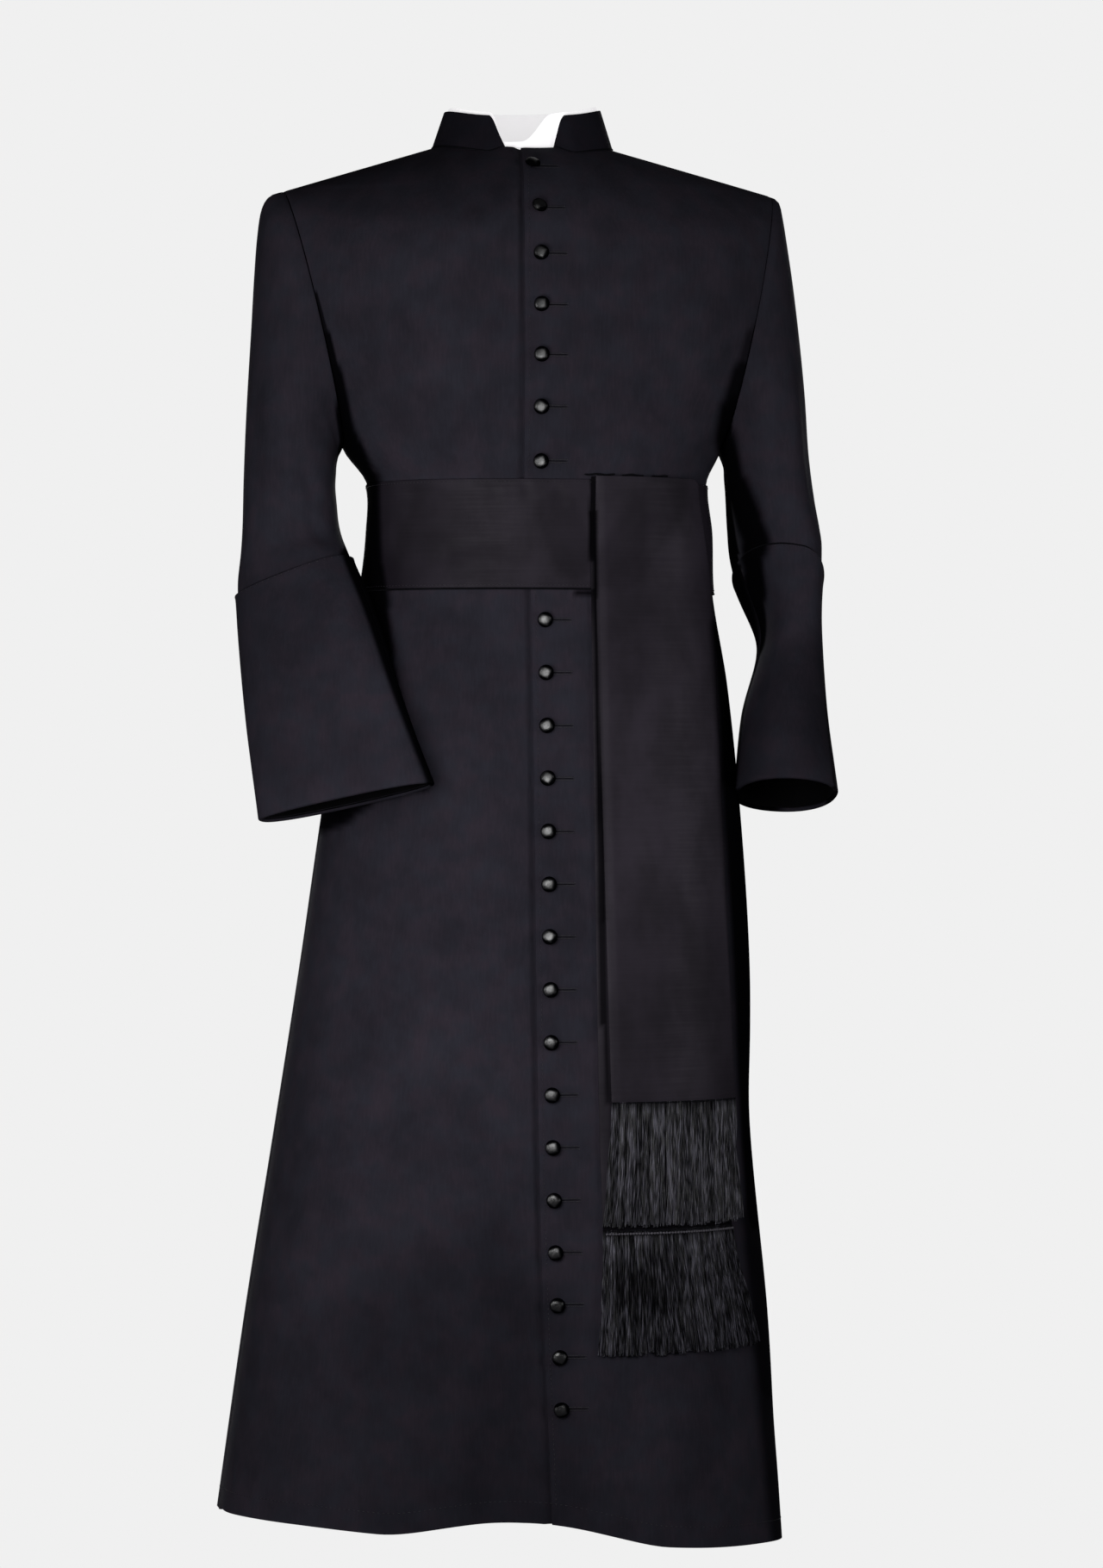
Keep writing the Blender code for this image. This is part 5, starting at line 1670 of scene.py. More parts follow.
@dataclass
class Silk:
    """The sash and the two streamers that fall from it."""
    silk: Material
    gap: float = 0.0006
    wall: float = 0.0015
    corner: float = 0.0085
    crowding: float = 1.4
    edge_roll: float = 0.0010
    sash_roll: float = 0.0003
    sash_roll_share: float = 0.012
    crease_margin: float = 0.004
    crease_fade: float = 0.012
    streamer_creases_z: float = -0.456
    streamer_creases_over: float = 0.02
    # How dark the sash is all over; painted shade towards its right end; painted shadow over the lower
    # streamer; and shifts and fades of the painted shade on the upper streamer.
    plain_dark: float = 0.20
    right_dark: float = 0.24
    right_dark_x: float = -0.060
    right_dark_over: float = 0.10
    lower_shadow: float = 0.30
    front_shift: float = 0.004
    edge_shift: float = 0.0012
    edge_until: float = 0.068
    edge_over: float = 0.006
    ridge_share: float = 0.062
    ridge_over: float = 0.03
    edge_roll_over: float = 0.028
    streamer_row: float = 0.0040
    streamer_columns: int = 44

    def lie(self, face: Face, x: Array, z: Array, layer: int, lift: Array | float = 0.0) -> Array:
        """Points of a layer's outer side, at the sash and below it.

        Args:
            face: front or back.
            x: across.
            z: heights.
            layer: 1 for the sash, 2 and 3 for the streamers.
            lift: a further lift.
        Returns:
            A point for each.
        """
        total = layer * (self.gap + self.wall) + lift
        if face == Face.FRONT:
            at_sash = ease((z - CLOTH.sash_bottom_z + self.crease_margin) / self.crease_fade)
            total = total + relief(SASH_CREASES, x, z) * at_sash
            if layer > 1:
                below = ease((self.streamer_creases_z - z) / self.streamer_creases_over)
                total = total + relief(STREAMER_CREASES, x, z) * below
        return CLOTH.dressed(face, x, z, total)

    def round(self, angle: Array, z: Array) -> tuple[Array, Array]:
        """x and z of the body's row at a nominal height: the rows tilt a little with the hem."""
        fall = ((z - CLOTH.underarm_z) / (CLOTH.hem_z - CLOTH.underarm_z)) ** 2
        front = np.sin(angle) >= 0
        drop = np.where(front, CLOTH.hem_drop(Face.FRONT, angle), CLOTH.hem_drop(Face.BACK, angle))
        height = z + drop * fall
        return CLOTH.section_x(height, angle), height

    def on_sash(self, u: Array, v: Array, lift: Array | float) -> Array:
        """Points on the sash, u of the way round and v of the way down, at a further lift."""
        angle = TURN * (0.75 - u)
        x, z = self.round(angle, CLOTH.sash_top_z + (CLOTH.sash_bottom_z - CLOTH.sash_top_z) * v)
        front, back = (self.lie(face, x, z, 1, lift) for face in (Face.FRONT, Face.BACK))
        return np.where((np.sin(angle) >= 0)[..., None], front, back)

    def sash_points(self, u: Array, v: Array) -> Array:
        """Points of the sash's outer side, whose edges sink a little."""
        edges = bell(v / self.sash_roll_share) + bell((1 - v) / self.sash_roll_share)
        return self.on_sash(u, v, -self.sash_roll * edges)

    def dark(self, u: Array, v: Array, points: Array) -> Array:
        """The painted shade on the sash and on the lower streamer, in folds and shadows."""
        x, z = points[..., 0], points[..., 2]
        front = points[..., 1] < 0
        return np.where(front, shading(FRONT_SHADES + LAYER_SHADES, x, z), 0.0)

    def sash_dark(self, u: Array, v: Array, points: Array) -> Array:
        """How dark the sash is: a little all over, and painted shade towards its right end and in
        folds.
        """
        x = points[..., 0]
        right = ease((self.right_dark_x - x) / self.right_dark_over)
        plain = self.plain_dark + self.right_dark * right
        plain = np.maximum(plain, shading(SASH_PAINTED_SHADE, x, points[..., 2]))
        plain = np.where(points[..., 1] < 0, plain, self.plain_dark)
        return np.maximum(self.dark(u, v, points), plain)

    def lower_dark(self, u: Array, v: Array, points: Array) -> Array:
        """How dark the lower streamer is: painted shadow of the upper one, and painted shade in folds.
        """
        return np.maximum(self.dark(u, v, points), self.lower_shadow)

    def upper_dark(self, u: Array, v: Array, points: Array) -> Array:
        """The painted shade on the upper streamer: in folds, beside its edge, and in soft patches near
        its top and lower down.
        """
        x, z = points[..., 0], points[..., 2]
        soft = shading(STREAMER_PAINTED_SHADE, x, z)
        edge = shading(LAYER_SHADES, x + self.edge_shift, z)
        edge = edge * ease((self.edge_until - x) / self.edge_over)
        front = shading(FRONT_SHADES, x + self.front_shift, z)
        return np.maximum(np.maximum(front, edge), soft)

    def sash(self) -> None:
        """Makes the band round the waist."""
        piece = Piece("silk_sash", self.silk, "black_silk", ("sash",))
        Shell(piece, self.wall, 60, 320, closed=True).build(
            self.sash_points, self.sash_dark, held="folded",
            rests_on=("cloth_front_left", "cloth_back_left"))

    def on_streamer(self, word: str, u: Array, v: Array) -> Array:
        """Points of a streamer's outer side."""
        rows = np.array(STREAMERS[word])
        inner, outer = Curve(rows[:, 0], rows[:, 1]), Curve(rows[:, 0], rows[:, 2])
        z = rows[0, 0] + (rows[-1, 0] - rows[0, 0]) * v ** self.crowding
        below = np.clip(1 - (rows[0, 0] - z) / self.corner, 0, 1)
        narrow = self.corner * (1 - arc(below))
        start, end = CLOTH.section_angle(inner(z), z), CLOTH.section_angle(outer(z) - narrow, z)
        ridge = bell((u - self.ridge_share) / self.ridge_over)
        edge = self.edge_roll * (ridge - bell(u / self.edge_roll_over))
        x = CLOTH.section_x(z, start + (end - start) * u)
        return self.lie(Face.FRONT, x, z, LAYERS[word], edge)

    def streamer(self, word: str, fringe: Object) -> None:
        """Makes one streamer; the strands that hang from it are made by their fringe."""
        piece = Piece(f"silk_streamer_{word}", self.silk, "black_silk", (f"streamer_{word}",))
        top, bottom = STREAMERS[word][0].z, STREAMERS[word][-1].z
        shell = Shell(piece, self.wall, int((top - bottom) / self.streamer_row), self.streamer_columns)
        shell.with_pieces = (fringe,)
        shade = self.upper_dark if word == "upper" else self.lower_dark
        shell.build(partial(self.on_streamer, word), shade, rests_on=("silk_sash",))


def streamer_end(word: str) -> tuple[float, float, float]:
    """Height of a streamer's end, and the angles round the body of its two edges there."""
    z, inner, outer = STREAMERS[word][-1]
    start, end = (float(CLOTH.section_angle(np.array(x), np.array(z))) for x in (inner, outer))
    return z, start, end


# ---- Rows of small forms ----
TUBE = 0.3


@dataclass
class Comb:
    """Many copies of one small form, stood in a row and then laid where they belong."""
    count: int

    def hang(self, sides: int, links: int) -> tuple[BMesh, Array, Array]:
        """Hangs thin closed tubes in a row, each of some links one metre long.

        Args:
            sides: how many sides a tube has.
            links: how many links.
        Returns:
            The mesh, the number of each vertex's tube, and its place in the tube.
        """
        bm = bmesh.new()
        bmesh.ops.create_circle(bm, segments=sides, radius=TUBE)
        edges = bm.edges[:]
        for _ in range(links):
            made = bmesh.ops.extrude_edge_only(bm, edges=edges)["geom"]
            edges = [e for e in made if isinstance(e, bmesh.types.BMEdge)]
            verts = [v for v in made if isinstance(v, bmesh.types.BMVert)]
            bmesh.ops.translate(bm, verts=verts, vec=(0, 0, -1))
            edges = [e for e in edges if abs(e.verts[0].co.z - e.verts[1].co.z) < 0.5]
        bmesh.ops.holes_fill(bm, edges=[e for e in bm.edges if e.is_boundary], sides=sides)
        number, at = self.stand(bm)
        return bm, number, at

    def stand(self, bm: BMesh) -> tuple[Array, Array]:
        """Stands the copies one metre apart along x.

        Args:
            bm: a mesh that holds the first, less than a metre wide.
        Returns:
            The number of each vertex's copy, and its place in the copy.
        """
        made = 1
        while made < self.count:
            copied = bmesh.ops.duplicate(bm, geom=bm.verts[:] + bm.edges[:] + bm.faces[:])["geom"]
            verts = [v for v in copied if isinstance(v, bmesh.types.BMVert)]
            bmesh.ops.translate(bm, verts=verts, vec=(made, 0, 0))
            made *= 2
        surplus = [v for v in bm.verts if v.co.x > self.count - 0.5]
        bmesh.ops.delete(bm, geom=surplus, context="VERTS")
        at = np.array([v.co for v in bm.verts])
        number = at[:, 0].round().astype(int)
        at[:, 0] -= number
        return number, at

    def lay(self, bm: BMesh, points: Array) -> None:
        """Moves every vertex to its point, and turns the faces outwards."""
        for vert, point in zip(bm.verts, points):
            vert.co = point
        bmesh.ops.recalc_face_normals(bm, faces=bm.faces)


# ---- Fringes ----
class Traits(NamedTuple):
    """What differs from strand to strand."""
    place: Array
    deep: Array
    lock_place: Array
    pull: Array
    sway: Array
    wave: Array
    waviness: Array
    length: Array
    dark: Array
    glints: Array


@dataclass
class Fringe:
    """Silk strands in uneven locks below a streamer's end."""
    word: str
    silk: Silk
    thread: Material
    fan_inner: float
    fan_outer: float
    seed: int
    painted_shade: float
    strands: int = 1000
    locks: int = 40
    links: int = 14
    sides: int = 4
    length: float = 0.127
    root: float = 0.002
    radius: float = 0.00062
    taper: float = 0.35
    depth: float = 0.0027
    sway: float = 0.0016
    swell: float = 0.0012
    short_share: float = 0.06
    lock_share: float = 0.55
    # Painted glints along each strand; painted shade over the fringe and a darker patch of it; painted
    # shade at the roots.
    glint: float = 0.42
    painted_shade_all: float = 0.6
    painted_shade_patch: float = 5.0 * 0.75
    patch_across: float = 0.27
    patch_down: float = 0.48
    root_dark: float = 0.7
    darkest: float = 0.95
    spot_in_gap: tuple[float, float] = (0.1, 0.9)
    lock_in_gap: tuple[float, float] = (0.15, 0.85)
    deepest: tuple[float, float] = (0.1, 1.0)
    pull: tuple[float, float] = (0.05, 0.38)
    waviness: tuple[float, float] = (0.0002, 0.0009)
    cut_back: tuple[float, float] = (0.72, 0.95)
    lock_dark: tuple[float, float] = (0.05, 1.0)
    strand_dark: tuple[float, float] = (0, 0.35)
    glints: tuple[float, float] = (14, 44)

    def draw(self) -> Traits:
        """Draws every strand's traits; those of a lock's strands are alike."""
        chance = np.random.default_rng(self.seed)
        strands, locks = self.strands, self.locks
        place = (np.arange(strands) + chance.uniform(*self.spot_in_gap, strands)) / strands
        deep = chance.uniform(*self.deepest, strands)
        lock_at = (np.arange(locks) + chance.uniform(*self.lock_in_gap, locks)) / locks
        lock = np.abs(place[:, None] - lock_at[None]).argmin(axis=1)
        pull = chance.uniform(*self.pull, locks)[lock]
        sway = chance.normal(0, self.sway, locks)[lock] + chance.normal(0, self.sway, strands)
        wave = chance.uniform(0, TURN, locks)[lock] + chance.normal(0, 0.5, strands)
        waviness = chance.uniform(*self.waviness, strands)
        length = self.length * (0.985 - 0.045 * chance.random(strands) ** 2
                                - 0.03 * chance.random(locks)[lock])
        short = chance.random(strands) < self.short_share
        length = np.where(short, length * chance.uniform(*self.cut_back, strands), length)
        dark = (chance.uniform(*self.lock_dark, locks)[lock] * self.lock_share
                + chance.uniform(*self.strand_dark, strands))
        glints = chance.uniform(*self.glints, strands)
        return Traits(place, deep, lock_at[lock], pull, sway, wave, waviness, length, dark, glints)

    def dark(self, trait: Traits, across: Array, down: Array) -> Array:
        """How dark each place of the strands is, from their traits and its shares across and down:
        their own random tone, painted glints, painted shade over the fringe with a darker patch, and
        painted shade at the roots.
        """
        glints = self.glint * np.sin(trait.wave * 2.3 + down * trait.glints)
        patch = bell((across - self.patch_across) / 0.22) * bell((down - self.patch_down) / 0.24)
        painted_shade = self.painted_shade * (self.painted_shade_all + self.painted_shade_patch * patch)
        root = self.root_dark * ease((0.05 - down) / 0.04)
        return np.clip(trait.dark + glints + painted_shade + root, 0, self.darkest)

    def build(self) -> Object:
        """Makes the strands' piece."""
        top_z, start, end = streamer_end(self.word)
        comb = Comb(self.strands)
        bm, number, at = comb.hang(self.sides, self.links)
        trait = Traits(*(column[number] for column in self.draw()))
        down = np.interp(-at[:, 2], (0, 1, self.links - 1, self.links), (0, 0.004, 0.996, 1))
        across = trait.place + (trait.lock_place - trait.place) * trait.pull * ease(down / 0.9)
        z = top_z + self.root - (trait.length + self.root) * down
        root_x = CLOTH.section_x(same(top_z, across), start + (end - start) * across)
        fan = -self.fan_inner + (self.fan_inner + self.fan_outer) * across
        loose = ease(down / 0.3)
        x = (root_x + fan * down ** 1.15 + trait.sway * down ** 1.6
             + trait.waviness * np.sin(trait.wave + down * 9) * loose)
        lift = self.depth * trait.deep + self.swell * np.sin(trait.wave * 1.7 + down * 6) * loose
        under = LAYERS[self.word] - 1
        base = self.silk.lie(Face.FRONT, x, z, under, np.maximum(lift, self.radius))
        normal = CLOTH.normal(Face.FRONT, x, z)
        side = unit(np.stack([-normal[:, 1], normal[:, 0], same(0.0, x)], -1))
        thin = self.radius / TUBE * (1 - self.taper * down ** 3)
        turn = trait.wave + down * 5
        a = (at[:, 0] * np.cos(turn) - at[:, 1] * np.sin(turn)) * thin
        b = (at[:, 0] * np.sin(turn) + at[:, 1] * np.cos(turn)) * thin
        comb.lay(bm, base + side * a[:, None] + normal * b[:, None])
        # Random tone, painted glints and painted shade of each vertex, which the material mixes towards
        # black.
        layer = bm.verts.layers.float.new("shade")
        for vert, value in zip(bm.verts, self.dark(trait, across, down)):
            vert[layer] = float(value)
        piece = Piece(f"strands_{self.word}", self.thread, "fringe_silk", (f"fringe_{self.word}",))
        return piece.add(bm)


# ---- Buttons ----
@dataclass
class Buttons:
    """The row of domed, covered buttons with their worked holes."""
    cover: Material
    radius: float = 0.0082
    hole_reach: float = 0.0275
    height: float = 0.0064
    hole_from: float = 0.3 * 0.0082
    profile: tuple[tuple[float, float], ...] = (
        (0.0, 1.0), (0.24, 0.99), (0.44, 0.955), (0.60, 0.90), (0.73, 0.81), (0.84, 0.68),
        (0.92, 0.52), (0.965, 0.36), (0.97, 0.22), (0.93, 0.10), (0.82, 0.0), (0.50, -0.08),
        (0.18, -0.12), (0.16, -0.45), (0.0, -0.46))
    steps: int = 32
    stand: float = 0.0024
    upper_z: tuple[float, ...] = (-0.0275, -0.073, -0.1205, -0.173, -0.224, -0.277, -0.332)
    lower_top: float = -0.494
    lower_bottom: float = -1.290
    lower_count: int = 16
    sag: float = 0.018
    tilts: tuple[tuple[float, float], ...] = (
        (-20, 10), (-18, 14), (-9, -13), (-8, -16), (-4, -12), (4, -15), (-5, -17), (14, -9),
        (8, -17), (3, -14), (-6, -12), (6, -16), (9, -13), (-3, -17), (5, -12), (10, -15),
        (7, -11), (4, -16), (12, -12), (9, -15), (16, -8), (15, 6), (17, -6))
    # Painted shade over the whole of the top buttons, and on each button's far flank and its rim.
    whole_painted_shade: tuple[float, ...] = (0.60, 0.60, 0.20)
    flank_way: float = -0.15
    flank_swing: float = 0.50
    flank_turn: float = 2.4
    flank_from: float = 0.36
    beside_from: float = 0.38
    flank_over: float = 0.30
    rim_dark: float = 0.85
    rim_from: float = 0.74
    rim_over: float = 0.22

    def heights(self) -> list[float]:
        """Heights of all the buttons."""
        run = self.lower_bottom - self.lower_top
        shares = (k / (self.lower_count - 1) for k in range(self.lower_count))
        return [*self.upper_z, *(self.lower_top + run * t - self.sag * t * (1 - t) for t in shares)]

    def darken(self, bm: BMesh, number: int) -> None:
        """Paints shade on the button's far flank and its rim, where its cover turns away from the
        lamps, and over the whole of the top buttons.

        Args:
            bm: the button, before it is set in its place.
            number: its place from the top.
        """
        # Painted shade of each vertex, which the cover mixes towards black.
        layer = bm.verts.layers.float.new("shade")
        whole = self.whole_painted_shade[number - 1] if number <= len(self.whole_painted_shade) else 0.0
        way = self.flank_way - self.flank_swing * sin(self.flank_turn * number)
        across = np.array([vert.co.xy for vert in bm.verts]) / self.radius
        off = cos(way) * across[:, 0] + sin(way) * across[:, 1]
        beside = np.abs(cos(way) * across[:, 1] - sin(way) * across[:, 0])
        rim = np.hypot(across[:, 0], across[:, 1])
        flank = np.maximum(ease((off - self.flank_from) / self.flank_over),
                           ease((beside - self.beside_from) / self.flank_over))
        flank = np.maximum(flank, self.rim_dark * ease((rim - self.rim_from) / self.rim_over))
        for vert, dark in zip(bm.verts, np.maximum(flank, whole)):
            vert[layer] = float(dark)

    def button(self, number: int, z: float, tilt: tuple[float, float]) -> None:
        """Makes one button on its seat.

        Args:
            number: its place from the top.
            z: its height.
            tilt: how it leans, in degrees about x and z.
        """
        height = np.array(z)
        x = CLOTH.button_x(height)
        seat = Vector(CLOTH.dressed(Face.FRONT, x, height, self.stand))
        normal = Vector(CLOTH.normal(Face.FRONT, x, height))
        bm = bmesh.new()
        verts = [bm.verts.new((r * self.radius, 0, h * self.height)) for r, h in self.profile]
        edges = [bm.edges.new(pair) for pair in zip(verts, verts[1:])]
        bmesh.ops.spin(bm, geom=verts + edges, axis=(0, 0, 1), cent=(0, 0, 0), steps=self.steps,
                       angle=TURN, use_merge=True)
        bmesh.ops.remove_doubles(bm, verts=bm.verts, dist=MERGE)
        bmesh.ops.recalc_face_normals(bm, faces=bm.faces)
        self.darken(bm, number)
        lean = Matrix.Rotation(radians(tilt[0]), 4, "X") @ Matrix.Rotation(radians(tilt[1]), 4, "Y")
        turn = Matrix.Translation(seat) @ normal.to_track_quat("Z", "Y").to_matrix().to_4x4() @ lean
        bmesh.ops.transform(bm, verts=bm.verts, matrix=turn)
        Piece(f"cover_{number:02d}", self.cover, "button_cloth", (f"button_{number:02d}",)).add(bm)

    def hole_line(self, z: float, drop: float, share: Array, lift: float) -> Array:
        """Points along a buttonhole, a little below or above its slit."""
        reach = self.hole_from + (self.hole_reach - self.hole_from) * share
        x = float(CLOTH.button_x(np.array(z))) + reach
        return CLOTH.dressed(Face.FRONT, x, same(z - drop, share), lift)

    def build(self) -> None:
        """Makes every button."""
        for number, (z, tilt) in enumerate(zip(self.heights(), self.tilts), start=1):
            self.button(number, z, tilt)


# ---- Needlework ----
class SeamShadowCord(NamedTuple):
    """A thin near-black cord laid in a seam as painted shadow: its middle's height, half its thickness,
    and its straight parts.
    """
    lift: float
    radius: float
    links: int


class Stitch(NamedTuple):
    """A stitch's length, width and height, the pitch of its row, and its middle's height."""
    length: float
    width: float
    height: float
    pitch: float
    lift: float = 0.0002


# Near-black cords that paint the shadow lines of seams and slits.
SEAM_SHADOW_CORDS = {
    "buttonhole_slit_shadows": SeamShadowCord(0.0001, 0.00045, 10),
    "cuff": SeamShadowCord(0.0004, 0.0010, 120),
    "collar": SeamShadowCord(-0.0001, 0.0009, 120),
    "streamer": SeamShadowCord(0.0002, 0.0009, 30),
    "fringes": SeamShadowCord(0.0002, 0.0010, 60),
    "body": SeamShadowCord(-0.0012, 0.0010, 100),
    "sash": SeamShadowCord(-0.0004, 0.0009, 160),
}
STITCHES = {
    "buttonhole": Stitch(0.0019, 0.0007, 0.0006, 0.0010),
    "cuff": Stitch(0.0024, 0.0007, 0.0006, 0.0075, 0.0034),
    "fringes": Stitch(0.0036, 0.0030, 0.0014, 0.0031, 0.0032),
    "sash": Stitch(0.0026, 0.0006, 0.0004, 0.0042),
    "front": Stitch(0.0028, 0.0006, 0.0005, 0.0050),
    "hem": Stitch(0.0030, 0.0006, 0.0005, 0.0052),
}
TUCKS = ((0.0, 0.36), (0.44, 0.70), (0.80, 1.0))
BEAD = 0.4


@dataclass
class Needlework:
    """Near-black cords laid in seams and slits as painted shadow, rows of stitches and worked
    buttonholes, laid along lines on the cloth.
    """
    thread: Material
    highlight_thread: Material
    dark: Material
    step: float = 0.001
    top_z: float = -0.026
    bottom_z: float = -1.388
    from_edge: float = 0.0048
    hem_above: float = 0.021
    seam_end: float = 0.004
    hole_half: float = 0.0014
    tuck_x: float = 0.0475
    tuck_z: float = -0.3450
    tuck_width: float = 0.090
    cuff_seam: float = -0.0010
    cuff_row: float = 0.0014

    def directions(self, line: Line, share: Array, lift: float) -> tuple[Array, Array, Array, Array]:
        """Points of a line with the directions along it, beside it and outwards.

        Args:
            line: gives points for shares along it and a lift.
            share: shares from 0 to 1.
            lift: distance above the cloth.
        Returns:
            The points and the three directions.
        """
        at = line(share, lift)
        before, after = np.maximum(0, share - self.step), np.minimum(1, share + self.step)
        ahead = unit(line(after, lift) - line(before, lift))
        out = unit(line(share, lift + self.step) - at)
        return at, ahead, unit(np.cross(out, ahead)), out

    def spaced(self, line: Line, pitch: float) -> Array:
        """Shares along a line that lie a pitch apart."""
        fine = np.linspace(0, 1, 500)
        run = np.concatenate([[0], np.cumsum(steps_between(line(fine, 0.0), 0))])
        count = max(2, int(run[-1] / pitch))
        return np.interp((np.arange(count) + 0.5) / count * run[-1], run, fine)

    def seam(self, name: str, lines: Sequence[Line], cord: SeamShadowCord) -> None:
        """Lays a thin near-black cord, which tapers at its ends, along each line, as painted shadow in
        a seam or slit.

        Args:
            name: the piece's name.
            lines: the lines.
            cord: the cord.
        """
        comb = Comb(len(lines))
        bm, number, at = comb.hang(5, cord.links)
        points = np.zeros((len(number), 3))
        for index, line in enumerate(lines):
            mine = number == index
            share = -at[mine, 2] / cord.links
            middle, _, side, out = self.directions(line, share, cord.lift)
            thin = cord.radius / TUBE * np.sqrt(np.clip(1 - (2 * share - 1) ** 12, 0.02, 1))
            a, b = at[mine, 0] * thin, at[mine, 1] * thin
            points[mine] = middle + side * a[:, None] + out * b[:, None]
        comb.lay(bm, points)
        Piece(name, self.dark, "black_cloth").add(bm)

    def stitches(self, name: str, lines: Sequence[Line], stitch: Stitch,
                 material: Material, across: bool = False) -> None:
        """Lays a row of stitches along each line.

        Args:
            name: the piece's name.
            lines: the lines.
            stitch: one stitch.
            material: their thread.
            across: whether they lie across the line.
        """
        found = [self.directions(line, self.spaced(line, stitch.pitch), stitch.lift) for line in lines]
        middle, ahead, side, out = (np.concatenate(part) for part in zip(*found))
        comb = Comb(len(middle))
        bm = bmesh.new()
        bmesh.ops.create_icosphere(bm, subdivisions=1, radius=BEAD)
        number, at = comb.stand(bm)
        at = at / (2 * BEAD) * np.array(stitch[:3])
        if across:
            ahead, side = side, ahead
        comb.lay(bm, middle[number] + ahead[number] * at[:, :1] + side[number] * at[:, 1:2]
                 + out[number] * at[:, 2:])
        Piece(name, material, "black_cloth").add(bm)

    def front_edge(self, share: Array, lift: float) -> Array:
        """Points just inside the overlapping front's edge, from the neck to the hem."""
        z = self.top_z + (self.bottom_z - self.top_z) * share
        return CLOTH.dressed(Face.FRONT, CLOTH.edge_x(z) + self.from_edge, z, lift)

    def hem(self, face: Face, share: Array, lift: float) -> Array:
        """Points of a row above the hem on one face, which stops short of the side seams."""
        angle = pi * (1 - share) * 0.998 + 0.003
        z = CLOTH.hem_z + CLOTH.hem_drop(face, angle) + self.hem_above
        return CLOTH.dressed(face, CLOTH.section_x(z, angle), z, lift)

    def streamer_top(self, share: Array, lift: float) -> Array:
        """Points of the tuck above the streamers, which wavers a little."""
        z = self.tuck_z - 0.0005 * np.sin(share * 31)
        return CLOTH.dressed(Face.FRONT, self.tuck_x + self.tuck_width * share, z, lift + 0.0016)

    def part(self, line: Line, start: float, end: float, share: Array, lift: float) -> Array:
        """Points of one stretch of a line."""
        return line(start + (end - start) * share, lift)

    def fringe_head(self, silk: Silk, word: str, layer: int, share: Array, lift: float) -> Array:
        """Points along a fringe's head, at the end of its streamer."""
        z, start, end = streamer_end(word)
        level = same(z + 0.0008, share)
        x = CLOTH.section_x(level, start + (end - start) * (0.01 + 0.98 * share))
        return silk.lie(Face.FRONT, x, level, layer, lift)

    def lowered(self, line: Line, drop: float, share: Array, lift: float) -> Array:
        """Points of a line moved down."""
        return line(share, lift) - np.array((0, 0, drop))

    def side_seam(self, side: Side, share: Array, lift: float) -> Array:
        """Points of a side seam, from the underarm to the hem."""
        angle = same(0.0 if side == Side.LEFT else pi, share)
        low = CLOTH.hem_z + float(CLOTH.hem_drop(Face.BACK, angle[:1])[0]) + self.seam_end
        z = CLOTH.underarm_z + (low - CLOTH.underarm_z) * share
        return np.stack([CLOTH.section_x(z, angle) + side * lift, same(0.0, z), z], -1)

    def shoulder_seam(self, side: Side, share: Array, lift: float) -> Array:
        """Points of a shoulder seam, from just inside the neck to the sleeve."""
        start = CLOTH.neck_half - 0.003
        x = side * (start + (SHOULDERS[side].reach - start) * share)
        return np.stack([x, same(0.0, x), CLOTH.shoulder_z(x) + lift], -1)

    def back_seam(self, share: Array, lift: float) -> Array:
        """Points of the seam down the middle of the back."""
        z = CLOTH.neck_z(Face.BACK, np.array(0.0)) - self.seam_end
        z = z + (CLOTH.hem_z + self.seam_end - z) * share
        return CLOTH.dressed(Face.BACK, CLOTH.centre(z), z, lift)

    def sash_row(self, silk: Silk, v: float, share: Array, lift: float) -> Array:
        """Points of a row round the sash."""
        return silk.on_sash(share, same(v, share), lift)

    def buttonholes(self, buttons: Buttons) -> None:
        """Works a hole beside every button: a near-black cord as painted shadow in its slit, and
        stitches along its rims.
        """
        heights = buttons.heights()
        slits = [partial(buttons.hole_line, z, 0.0) for z in heights]
        self.seam("buttonhole_slit_shadows", slits, SEAM_SHADOW_CORDS["buttonhole_slit_shadows"])
        rims = [partial(buttons.hole_line, z, drop) for z in heights
                for drop in (-self.hole_half, self.hole_half)]
        self.stitches("buttonhole_stitches", rims, STITCHES["buttonhole"], self.thread, across=True)

    def build(self, sleeves: Sequence[Sleeve], neck: Neck, silk: Silk, buttons: Buttons) -> None:
        """Lays all the painted seam shadows, the stitches and the buttonholes."""
        self.buttonholes(buttons)
        for sleeve in sleeves:
            self.seam(f"seam_cuff_{sleeve.word}", [partial(sleeve.ring, self.cuff_seam)], SEAM_SHADOW_CORDS["cuff"])
            row = partial(self.part, partial(sleeve.ring, self.cuff_row), *SEAM_STITCHES[sleeve.side])
            self.stitches(f"stitches_cuff_{sleeve.word}", [row], STITCHES["cuff"], self.thread)
        self.seam("seam_collar", [neck.foot_line], SEAM_SHADOW_CORDS["collar"])
        tucks = [partial(self.part, self.streamer_top, *tuck) for tuck in TUCKS]
        self.seam("seam_streamer", tucks, SEAM_SHADOW_CORDS["streamer"])
        heads = [partial(self.fringe_head, silk, word, layer) for word, layer in LAYERS.items()]
        self.seam("seam_fringes", heads, SEAM_SHADOW_CORDS["fringes"])
        row = partial(self.lowered, heads[0], 0.0030)
